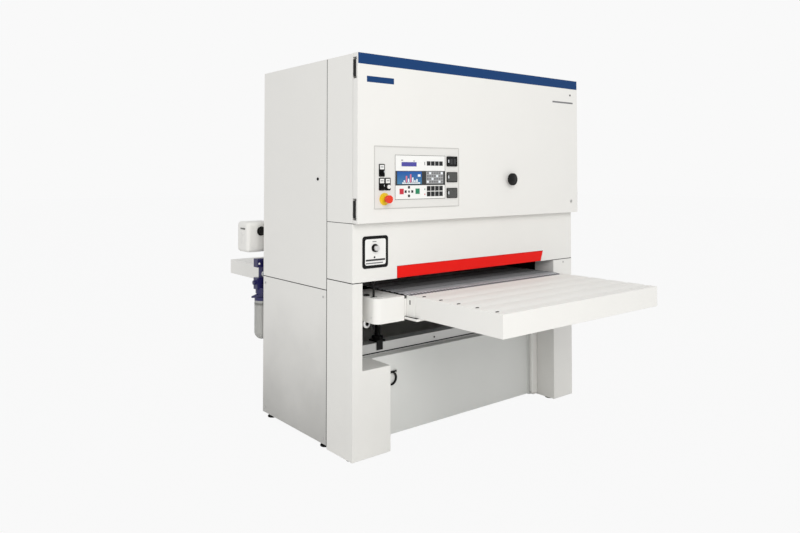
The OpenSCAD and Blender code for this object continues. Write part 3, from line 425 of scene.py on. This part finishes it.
sky, sky_in, sky_out = begin_group("screen_sky", [("Low", "Float", 0.0), ("High", "Float", 1.0)],
                                   [("Colour", "Color"), ("Roughness", "Float"), ("Normal", "Vector")])
here = add(sky, "TexCoord")
parts = add(sky, "SeparateXYZ", {0: here.outputs["Object"]})
climb = add(sky, "MapRange", {"Value": parts.outputs["Z"], "From Min": sky_in.outputs["Low"],
                              "From Max": sky_in.outputs["High"]})
drift = add(sky, "TexNoise", {"Vector": here.outputs["Object"], "Scale": 30.0})
blur = add(sky, "Math", {0: drift.outputs["Fac"], 1: 0.25, 2: climb.outputs[0]}, operation="MULTIPLY_ADD")
ramp = add(sky, "ValToRGB", {"Fac": blur.outputs[0]})
ramp.color_ramp.elements[0].color = tone(70, 130, 160)
ramp.color_ramp.elements[1].color = tone(22, 84, 160)
even = add(sky, "Bump", {"Strength": 0.02, "Height": drift.outputs["Fac"]})
clear = add(sky, "Math", {0: drift.outputs["Fac"], 1: 0.1, 2: 0.12}, operation="MULTIPLY_ADD")
sky.links.new(ramp.outputs["Color"], sky_out.inputs["Colour"])
sky.links.new(clear.outputs[0], sky_out.inputs["Roughness"])
sky.links.new(even.outputs[0], sky_out.inputs["Normal"])
screen = material("screen", sky, Low=pad_low.z + 0.078, High=pad_low.z + 0.143)

line_grey = material("line_grey", coat, Colour=tone(186, 185, 181), Gloss=0.5, Depth=0.08)
bez_low, bez_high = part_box("control_bezel")


def outline(name, low, high, face, wide, made):
    """Four thin strips round the edge of a rectangle, on the face that looks to the front."""
    for side, x0, x1, z0, z1 in (("left", low.x, low.x + wide, low.z, high.z),
                                 ("right", high.x - wide, high.x, low.z, high.z),
                                 ("foot", low.x + wide, high.x - wide, low.z, low.z + wide),
                                 ("head", low.x + wide, high.x - wide, high.z - wide, high.z)):
        fit(solid(f"{name}_{side}", (x0, face - 0.0004, z0), (x1, face + 0.0003, z1)),
            made, "front_door")


inset = Vector((0.001, 0, 0.001))
outline("bezel_line", bez_low + inset, bez_high - inset, bez_low.y, 0.003, line_grey)
outline("film_line", pad_low, pad_high, pad_face, 0.0018, key_black)
on_pad("keypad_lcd", 0.042, 0.142, 0.169, 0.191, lcd_blue)
on_pad("keypad_lcd_mark", 0.040, 0.052, 0.198, 0.203, mark_grey, 0.0006)
on_pad("keypad_lcd_mark_2", 0.120, 0.132, 0.195, 0.199, mark_grey, 0.0006)
on_pad("keypad_band", 0.003, 0.341, 0.072, 0.146, band_grey, 0.0008)
on_pad("keypad_screen", 0.013, 0.177, 0.078, 0.143, screen, 0.0008, 0.0006)
on_pad("keypad_label", 0.208, 0.328, 0.080, 0.143, pale_key, 0.0008, 0.0006)
for i, tall in enumerate((0.012, 0.034, 0.020, 0.042, 0.026, 0.012, 0.018)):
    on_pad(f"screen_bar_{i}", 0.055 + i * 0.014, 0.064 + i * 0.014, 0.084, 0.086 + tall,
           pink if i in (1, 3) else screen_white, 0.0004, 0.0013, 0.0)
on_pad("screen_base", 0.045, 0.165, 0.080, 0.087, screen_white, 0.0004, 0.0013, 0.0)
on_pad("screen_corner", 0.150, 0.168, 0.116, 0.128, screen_white, 0.0004, 0.0013, 0.0)
for row in range(4):
    for col in range(7):
        on_pad(f"label_cell_{row}_{col}", 0.212 + col * 0.0165, 0.225 + col * 0.0165,
               0.084 + row * 0.015, 0.095 + row * 0.015,
               mark_grey if (row * 3 + col) % 5 else screen_white, 0.0004, 0.0013, 0.0)
for col in range(4):
    on_pad(f"top_key_{col}", 0.213 + col * 0.029, 0.238 + col * 0.029, 0.174, 0.197, key_black)
    for row in range(2):
        on_pad(f"low_key_{row}_{col}", 0.213 + col * 0.029, 0.238 + col * 0.029,
               0.013 + row * 0.029, 0.038 + row * 0.029, key_black)
on_pad("stop_key", 0.029, 0.056, 0.027, 0.055, red_key)
on_pad("start_key", 0.135, 0.163, 0.027, 0.055, green_key)
arrow_x, arrow_z, reach = 0.091, 0.040, 0.022
for name, dx, dz in (("up", 0, reach), ("down", 0, -reach), ("left", -reach, 0), ("right", reach, 0),
                     ("middle", 0, 0)):
    half = 0.0065 if name != "middle" else 0.005
    on_pad(f"arrow_{name}", arrow_x + dx - half, arrow_x + dx + half, arrow_z + dz - half, arrow_z + dz + half,
           key_black)
on_pad("top_lamp", 0.196, 0.201, 0.176, 0.194, mark_grey, 0.0006)
on_pad("green_lamp", 0.196, 0.202, 0.046, 0.054, green_key, 0.0006)
on_pad("red_lamp", 0.196, 0.202, 0.020, 0.028, red_key, 0.0006)

# The three meters: a black one above two dark grey ones, each with a pale mark
meter_grey = material("meter_grey", coat, Colour=tone(74, 75, 73), Gloss=0.3, Depth=0.08)
finish("panel_meters", meter_black, 0.0008)
met_low, met_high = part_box("panel_meters")
pitch = (met_high.z - met_low.z - 0.054) / 2
for i in range(3):
    base = met_low.z + i * pitch
    made = meter_black if i == 2 else meter_grey
    fit(solid(f"meter_face_{i}", (met_low.x + 0.004, met_low.y - 0.0006, base + 0.004),
              (met_high.x - 0.004, met_low.y + 0.0003, base + 0.050), 0.0003, 1),
        made, "front_door")
    fit(solid(f"meter_mark_{i}", (met_low.x + 0.009, met_low.y - 0.0010, base + 0.020),
              (met_low.x + 0.014, met_low.y - 0.0004, base + 0.036)),
        screen_white, "front_door")
    for line in range(2):
        x = met_low.x + 0.024 + line * 0.024
        fit(solid(f"meter_line_{i}_{line}", (x, met_low.y - 0.0010, base + 0.012),
                  (x + 0.016, met_low.y - 0.0004, base + 0.040), 0.0002, 1),
            band_grey if i == 2 else meter_grey, "front_door")

# Legend plates with their pale labels, the two selectors, the white button and the emergency stop
finish("legend_plates", black_plastic, 0.0008)
leg0_low, leg0_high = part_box("legend_plates")
legend_w, legend_h = 0.036, 0.063
for name, col, level in (("a", 0, 0), ("b", 1, 0), ("c", 0, 1)):
    x = leg0_low.x + col * (legend_w + 0.001)
    z = leg0_low.z + level * (legend_h + 0.006)
    fit(solid(f"legend_label_{name}", (x + 0.005, leg0_high.y - 0.0040, z + 0.036),
              (x + legend_w - 0.005, leg0_high.y - 0.0030, z + legend_h - 0.005), 0.0003, 1),
        label_white, "front_door")
    fit(solid(f"legend_line_{name}", (x + 0.010, leg0_high.y - 0.0043, z + 0.046),
              (x + legend_w - 0.010, leg0_high.y - 0.0038, z + 0.050)),
        mark_grey, "front_door")
finish("upper_selector", black_plastic, 0.001)
finish("lower_selector", black_plastic, 0.001)
for name in ("upper_selector", "lower_selector"):
    low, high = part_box(name)
    mid = (low + high) / 2
    fit(solid(name + "_line", (mid.x - 0.0012, low.y - 0.0004, mid.z + 0.002),
              (mid.x + 0.0012, low.y + 0.0006, high.z - 0.001)), screen_white, name)
button_white = material("button_white", coat, Colour=tone(236, 236, 233), Gloss=0.25, Depth=0.03)
finish("push_button", button_white, 0.0015, 3)
stop_yellow = material("stop_yellow", coat, Colour=tone(232, 198, 30), Gloss=0.4, Depth=0.08)
stop_red = material("stop_red", coat, Colour=tone(228, 52, 24), Gloss=0.25, Depth=0.03)
finish("estop_collar", stop_yellow, 0.0008)
finish("estop_button", stop_red, 0.004, 4)


# ---- Left side door and its lock ----
# The sheet door has the panels' side paint. Its quarter-turn lock is a small turned barrel with a dark
# keyhole, pushed through the sheet and held from behind.
finish("side_door_lock", socket_black, 0.0006)


# ---- Conveyor: bed, rollers, belt and left end cover ----
# A plain steel bed between two side plates, raised on four screws, with a turned roller at each end.
# The feed belt has a rubber cover of slanted staggered lugs, with painted shade in the gaps between them.
# The folded end cover hides the tracking gear.
finish("conveyor_bed", dark_frame)
finish("lift_screws", dark_frame)
finish("lift_nuts", dark_frame)
finish("feed_gearmotor", dark_frame)
finish("drive_roller", zinc)
finish("idler_roller", zinc)
lugs, lug_in, lug_out = begin_group(
    "belt_lugs", [("Light", "Color", tone(228, 230, 233)), ("Dark", "Color", tone(98, 99, 103))],
    [("Colour", "Color"), ("Roughness", "Float"), ("Normal", "Vector")])
spot = add(lugs, "TexCoord")
axes = add(lugs, "SeparateXYZ", {0: spot.outputs["Object"]})
slanted = add(lugs, "Math", {0: axes.outputs["Y"], 1: 0.55, 2: axes.outputs["X"]}, operation="MULTIPLY_ADD")
laid = add(lugs, "CombineXYZ", {0: slanted.outputs[0], 1: axes.outputs["Y"]})
# Painted shade: the narrow gaps between the lugs take the dark colour, and the lug tops take the light one.
brick = add(lugs, "TexBrick", {"Vector": laid.outputs[0], "Color1": (1, 1, 1, 1), "Color2": (0.8, 0.8, 0.8, 1),
                               "Mortar": (0, 0, 0, 1), "Scale": 1.0, "Mortar Size": 0.0055, "Mortar Smooth": 0.2,
                               "Brick Width": 0.023, "Row Height": 0.09})
dusty = add(lugs, "TexNoise", {"Vector": spot.outputs["Object"], "Scale": 14.0, "Detail": 5.0})
soft = add(lugs, "Math", {0: dusty.outputs["Fac"], 1: 0.4, 2: 0.8}, operation="MULTIPLY_ADD")
weave = add(lugs, "VectorMath", {0: brick.outputs["Color"], 1: soft.outputs[0]}, operation="MULTIPLY")
blend = lugs.nodes.new("ShaderNodeMix")
blend.data_type = "RGBA"
lugs.links.new(weave.outputs[0], blend.inputs[0])
lugs.links.new(lug_in.outputs["Dark"], blend.inputs[6])
lugs.links.new(lug_in.outputs["Light"], blend.inputs[7])
raised = add(lugs, "Bump", {"Strength": 0.6, "Distance": 0.0015, "Height": brick.outputs["Color"]})
matt = add(lugs, "Math", {0: dusty.outputs["Fac"], 1: 0.2, 2: 0.6}, operation="MULTIPLY_ADD")
lugs.links.new(blend.outputs[2], lug_out.inputs["Colour"])
lugs.links.new(matt.outputs[0], lug_out.inputs["Roughness"])
lugs.links.new(raised.outputs[0], lug_out.inputs["Normal"])
belt_cover = material("belt_cover", lugs)
finish("feed_belt", belt_cover, 0.0)

table_white = material("table_white", coat, shine=0.3, Colour=tone(236, 235, 231), Gloss=0.55,
                       Worn=tone(190, 189, 186))
finish("left_end_cover", table_white, 0.002, 3)
cov_low, cov_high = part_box("left_end_cover")
fit(turned("cover_plug", [(0.016, 0), (0.016, 0.004), (0.013, 0.008), (0.006, 0.009)],
           (cov_low.x + 0.028, cov_low.y + 0.122, cov_high.z), (0, 0, 0), 24),
    black_plastic, "conveyor")
for i, (dx, dy) in enumerate(((0.062, 0.035), (0.150, 0.035), (0.110, 0.110), (0.160, 0.150))):
    fit(turned(f"cover_screw_{i}", [(0.006, 0), (0.006, 0.002), (0.0045, 0.0035)],
               (cov_low.x + dx, cov_low.y + dy, cov_high.z), (0, 0, 0), 16),
        silver, "conveyor")
for i, dy in enumerate((0.04, 0.14)):
    fit(turned(f"cover_side_screw_{i}", [(0.005, 0), (0.005, 0.0015), (0.004, 0.0025)],
               (cov_low.x, cov_low.y + dy, cov_low.z + 0.03), LEFT, 16), silver, "conveyor")

wheel_at = (cov_low.x + 0.014, cov_low.y + 0.110, cov_low.z - 0.012)
fit(turned("cover_wheel", [(0.018, 0), (0.021, 0.002), (0.021, 0.010), (0.018, 0.012)],
           wheel_at, FRONT, 32), silver, "conveyor")
fit(turned("cover_wheel_hub", [(0.010, 0), (0.010, 0.014), (0.008, 0.015)],
           wheel_at, FRONT, 24), black_plastic, "conveyor")


# ---- Infeed and outfeed tables ----
# Folded sheet trays that rest on ledges of the side plates, with shallow pressed grooves across the
# feed. Each groove of the infeed table starts at a small dark hole.

def grooved_table(name, part, low, high, lines):
    """An open-bottomed tray from corner to corner, with a shallow groove along X at each line."""
    groove_half, groove_d = 0.016, 0.0035
    piece = solid(name, low, high)
    bpy.ops.object.mode_set(mode="EDIT")
    for line in lines:
        for off in (-groove_half, 0, groove_half):
            bpy.ops.mesh.select_all(action="SELECT")
            bpy.ops.mesh.bisect(plane_co=(0, line + off, 0), plane_no=(0, 1, 0))
    bpy.ops.mesh.select_all(action="DESELECT")
    bpy.ops.object.mode_set(mode="OBJECT")
    for corner in piece.data.vertices:
        along_groove = any(abs(corner.co.y - line) < 0.002 for line in lines)
        corner.select = corner.co.z > high.z - 0.001 and along_groove
    bpy.ops.object.mode_set(mode="EDIT")
    bpy.ops.mesh.select_mode(type="VERT")
    bpy.ops.transform.translate(value=(0, 0, -groove_d))
    bpy.ops.mesh.select_all(action="DESELECT")
    bpy.ops.object.mode_set(mode="OBJECT")
    for side in piece.data.polygons:
        side.select = side.normal.z < -0.9
    bpy.ops.object.mode_set(mode="EDIT")
    bpy.ops.mesh.select_mode(type="FACE")
    bpy.ops.mesh.delete(type="FACE")
    bpy.ops.object.mode_set(mode="OBJECT")
    wall = piece.modifiers.new("Wall", "SOLIDIFY")
    wall.thickness = 0.004
    wall.offset = -1
    bpy.ops.object.modifier_apply(modifier="Wall")
    bend = piece.modifiers.new("Fold", "BEVEL")
    bend.width = 0.003
    bend.segments = 3
    bend.limit_method = "ANGLE"
    bend.angle_limit = math.radians(40)
    bpy.ops.object.modifier_apply(modifier="Fold")
    bpy.ops.object.shade_smooth_by_angle(angle=math.radians(35))
    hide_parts(part)
    fit(piece, table_white, "conveyor")


belt_low, belt_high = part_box("feed_belt")
whole_low, whole_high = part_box("infeed_table")
in_low = Vector((belt_low.x, whole_low.y, whole_low.z))
in_high = Vector((belt_high.x, belt_low.y - 0.008, whole_high.z))
step = (in_high.y - in_low.y) / 5
grooves = [in_low.y + step * (i + 0.55) for i in range(5)]
grooved_table("infeed_tray", "infeed_table", in_low, in_high, grooves)
cheek_t = 0.003
for name, x in (("left", whole_low.x), ("right", whole_high.x - cheek_t)):
    fit(solid(f"table_cheek_{name}", (x, in_high.y - 0.030, in_low.z),
              (x + cheek_t, whole_high.y, in_high.z - 0.002), 0.0006, 1),
        table_white, "conveyor")
fit(solid("plate_nose", (in_low.x - 0.0158, whole_high.y + 0.0002, in_low.z + 0.002),
          (in_low.x - 0.0037, whole_high.y + 0.0030, in_high.z - 0.018)),
    table_white, "conveyor")
ledge_x, ledge_y, ledge_foot, ledge_top = (in_low.x - 0.0165, in_high.y - 0.0003, in_low.z - 0.0125,
                                           in_low.z - 0.0001)
fit(solid("table_ledge", (ledge_x, in_high.y - 0.0605, ledge_foot),
          (in_low.x + 0.0445, ledge_y, ledge_top), 0.0006, 1), table_white, "conveyor")
fit(solid("table_ledge_arm", (ledge_x, ledge_y, ledge_foot),
          (in_low.x - 0.0035, whole_high.y, ledge_top), 0.0006, 1), table_white, "conveyor")
for i, line in enumerate(grooves):
    hole = turned(f"table_hole_{i}", [(0.006, -0.004), (0.006, 0.0)],
                  (in_low.x + 0.036, line, in_high.z - 0.0002), (0, 0, 0), 20)
    bpy.ops.object.mode_set(mode="EDIT")
    bpy.ops.mesh.select_all(action="SELECT")
    bpy.ops.transform.resize(value=(1.7, 1, 1))
    bpy.ops.object.mode_set(mode="OBJECT")
    fit(hole, socket_black, "conveyor")
fit(solid("table_side_slot", (whole_low.x - proud, in_high.y + 0.004, in_high.z - 0.046),
          (whole_low.x + sunk, in_high.y + 0.012, in_high.z - 0.024), plate_edge, 1),
    socket_black, "conveyor")
out_low, out_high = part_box("outfeed_table")
span = (out_high.y - out_low.y) / 6
out_grooves = [out_low.y + span * (i + 0.5) for i in range(6)]
grooved_table("outfeed_tray", "outfeed_table", out_low, out_high, out_grooves)


# ---- Fittings under the belt ----
# The front beam has a narrow channel along its face, drawn as a flat dark strip of painted shade, with two
# screws above it, and the left lift nut has a bent steel strap over the beam.
nut_low, nut_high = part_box("lift_nuts")
beam_top = nut_low.z
beam_front = nut_low.y
fit(solid("beam_channel_shade", (in_low.x - 0.22, beam_front - 0.0008, beam_top - 0.055),
          (in_high.x, beam_front + 0.0003, beam_top - 0.049), 0.0003, 1), dark_frame, "frame")
for i in range(2):
    fit(turned(f"beam_screw_{i}", [(0.005, 0), (0.005, 0.002), (0.004, 0.003)],
               (in_low.x + 0.42 + i * 0.5, beam_front - 0.0004, beam_top - 0.028), FRONT, 16),
        dark_frame, "frame")
strap = solid("lift_strap", (nut_low.x - 0.002, beam_front - 0.003, beam_top - 0.040),
              (nut_low.x + 0.040, beam_front - 0.0009, beam_top + 0.012), 0.0006, 1)
fit(strap, black_plastic, "frame")


# ---- Recessed panel's handle ----
# A black steel ring bent from bar. It hangs from a pin between two ears on the panel and folds up
# for the hand that lifts the panel off.
finish("panel_handle", black_plastic, 0.001)


# ---- Sanding units, drive and dust hood ----
# Hidden behind the doors: dark steel frames, rubber-covered drums, turned steel rollers, cloth-backed
# abrasive belts, and a motor with two drive belts. The dust hood is galvanised sheet.
motor_paint = material("motor_paint", coat, Colour=tone(88, 98, 108), Gloss=0.4)
steel = material("steel", coat, metal=0.9, Colour=tone(190, 190, 190), Gloss=0.28, Grain=400.0, Depth=0.06)
galvanised = material("galvanised", coat, metal=0.6, Colour=tone(184, 186, 188), Gloss=0.45, Grain=120.0,
                      Mottle=0.5)
abrasive = material("abrasive", coat, Colour=tone(118, 62, 40), Gloss=0.9, Grain=1200.0, Depth=0.9)
finish("unit_frames", dark_frame)
finish("main_motor", motor_paint)
finish("motor_pulley", steel)
finish("drive_belts", black_rubber, 0.0)
finish("abrasive_belts", abrasive, 0.0)
for part in ("front_drum", "rear_drum", "pressure_roller"):
    finish(part, black_rubber)
for part in ("front_tension_roller", "rear_tension_roller"):
    finish(part, steel)
finish("dust_hood", galvanised)


# ---- Rear box and its knob ----
# A sheet-metal box with generous vertical corners, which stands off the cabinet on one arm. Its left
# end has louvres and two round covers, and its front a black moulded knob.
box_low, box_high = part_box("rear_box")
knob_low, knob_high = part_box("rear_box_knob")
case_front = knob_high.y + 0.0003
case_low = Vector((box_low.x + 0.002, case_front, box_low.z))
case_high = Vector((box_high.x, box_high.y, box_high.z))
case = solid("rear_case", case_low, case_high)
for line in case.data.edges:
    a, b = (case.data.vertices[i].co for i in line.vertices)
    line.select = abs(a.z - b.z) > 0.1
bpy.ops.object.mode_set(mode="EDIT")
bpy.ops.mesh.select_mode(type="EDGE")
bpy.ops.mesh.bevel(offset=0.022, segments=6, affect="EDGES")
bpy.ops.object.mode_set(mode="OBJECT")
bend = case.modifiers.new("Fold", "BEVEL")
bend.width = 0.002
bend.segments = 2
bend.limit_method = "ANGLE"
bpy.ops.object.modifier_apply(modifier="Fold")
bpy.ops.object.shade_smooth_by_angle(angle=math.radians(35))
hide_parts("rear_box")
fit(case, front_white, "frame")
bracket = solid("rear_case_arm", (case_low.x + 0.124, case_front - 0.108, case_low.z + 0.046),
                (case_low.x + 0.164, case_front + 0.001, case_low.z + 0.126), 0.001, 1)
fit(bracket, front_white, "frame")
end = case_low.x
for i in range(4):
    fit(solid(f"case_louvre_{i}", (end - 0.0008, case_front + 0.030 + i * 0.016, case_high.z - 0.046),
              (end + 0.0004, case_front + 0.041 + i * 0.016, case_high.z - 0.036), 0.0003, 1),
        socket_black, "frame")
for i, (dy, dz, r) in enumerate(((0.070, 0.070, 0.020), (0.070, 0.112, 0.014))):
    fit(turned(f"case_cover_{i}", [(r, 0), (r, 0.0012), (r - 0.002, 0.0018)],
               (end, case_front + dy, case_low.z + dz), LEFT, 24), lower_grey, "frame")
finish("rear_box_knob", black_plastic, 0.0015, 3)


# ---- Air unit ----
# A moulded navy filter and regulator on a bracket of the rear post, with a gauge, a lever round its
# neck and a smoky clear bowl.
navy = material("navy", coat, shine=0.6, Colour=tone(28, 26, 80), Gloss=0.3, Depth=0.2, Worn=tone(80, 80, 130))
finish("air_unit", navy, 0.003, 3)
finish("air_lever", navy, 0.002, 2)
bowl_low, bowl_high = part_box("air_bowl")
bowl_mid = (bowl_low + bowl_high) / 2
bowl = material("bowl", coat, Colour=tone(196, 196, 192), Gloss=0.2, Depth=0.05)
bowl.node_tree.nodes["Principled BSDF"].inputs["Transmission Weight"].default_value = 0.35
finish("air_bowl", bowl, 0.0)
smoke = material("smoke", coat, Colour=tone(120, 120, 116), Gloss=0.4)
fit(turned("bowl_collar", [(0.0465, 0), (0.0468, 0.001), (0.0468, 0.012), (0.0465, 0.013)],
           (bowl_mid.x, bowl_mid.y, bowl_high.z - 0.026), (0, 0, 0), 48), smoke, "frame")
fit(turned("bowl_filter", [(0.018, 0), (0.024, 0.006), (0.024, 0.09), (0.018, 0.1)],
           (bowl_mid.x, bowl_mid.y, bowl_high.z - 0.13), (0, 0, 0), 24), smoke, "frame")
unit_low, unit_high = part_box("air_unit")
gauge_z = unit_high.z - 0.090
gauge_front = bowl_mid.y - 0.034
pale_blue = material("pale_blue", coat, Colour=tone(196, 214, 226), Gloss=0.15, Depth=0.02)
fit(turned("gauge_rim", [(0.021, -0.004), (0.021, 0.003), (0.018, 0.004), (0.018, 0.002)],
           (bowl_mid.x, gauge_front, gauge_z), FRONT, 32), silver, "frame")
fit(turned("gauge_face", [(0.0175, 0), (0.0175, 0.003)],
           (bowl_mid.x, gauge_front, gauge_z), FRONT, 32), pale_blue, "frame")
fit(turned("unit_dot", [(0.006, 0), (0.006, 0.002), (0.004, 0.003)],
           (bowl_mid.x - 0.034, bowl_mid.y - 0.024, unit_high.z - 0.028), FRONT, 16),
    label_white, "frame")


# ---- Camera, light and floor ----
# A large soft light from the front left, a weak one from the left, an even pale surround and a plain
# pale floor.
camera = bpy.data.cameras.new("camera")
camera.sensor_width = 36
camera.lens = 31.30
camera.shift_y = -0.1399
eye = bpy.data.objects.new("camera", camera)
eye.location = (-2.8010, -3.3586, 1.4028)
eye.rotation_euler = (math.radians(91.635), 0, math.radians(-39.05))
bpy.context.scene.collection.objects.link(eye)
bpy.context.scene.camera = eye

for name, at, size, power, colour in (
        ("key", (-2.8, -6.3, 4.3), 3.4, 196, (1.0, 0.99, 0.97)),
        ("fill", (-6.0, 0.6, 3.8), 3.0, 26, (1.0, 0.995, 0.98))):
    lamp = bpy.data.lights.new(name, "AREA")
    lamp.shape = "SQUARE"
    lamp.size = size
    lamp.energy = power
    lamp.color = colour
    holder = bpy.data.objects.new(name, lamp)
    holder.location = at
    holder.rotation_euler = (Vector((0, 0, 0.9)) - Vector(at)).to_track_quat("-Z", "Y").to_euler()
    bpy.context.scene.collection.objects.link(holder)
    holder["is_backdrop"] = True

world = bpy.data.worlds.new("surround")
world.use_nodes = True
bpy.context.scene.world = world
sheet = world.node_tree
sheet.nodes.clear()
seen = add(sheet, "Background", {"Color": tone(249, 249, 249), "Strength": 1.0})
cast = add(sheet, "Background", {"Color": (0.99, 0.99, 1.0, 1), "Strength": 0.72})
ray = add(sheet, "LightPath")
choice = add(sheet, "MixShader", {0: ray.outputs["Is Camera Ray"], 1: cast.outputs[0], 2: seen.outputs[0]})
final = add(sheet, "OutputWorld", {"Surface": choice.outputs[0]})

bpy.ops.object.select_all(action="DESELECT")
bpy.ops.mesh.primitive_plane_add(size=80)
floor = bpy.context.object
floor.name = "floor"
pale = bpy.data.materials.new("floor")
pale.use_nodes = True
tree = pale.node_tree
base = tree.nodes["Principled BSDF"]
base.inputs["Base Color"].default_value = tone(244, 244, 243)
base.inputs["Roughness"].default_value = 0.9
glow = add(tree, "Emission", {"Color": tone(249, 249, 249), "Strength": 1.0})
path = add(tree, "LightPath")
share = add(tree, "Math", {0: path.outputs["Is Camera Ray"], 1: 0.985}, operation="MULTIPLY")
both = add(tree, "MixShader", {0: share.outputs[0], 1: base.outputs[0], 2: glow.outputs[0]})
tree.links.new(both.outputs[0], tree.nodes["Material Output"].inputs["Surface"])
floor.data.materials.append(pale)
floor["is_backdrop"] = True
bpy.context.scene.view_settings.view_transform = "Standard"

low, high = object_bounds()
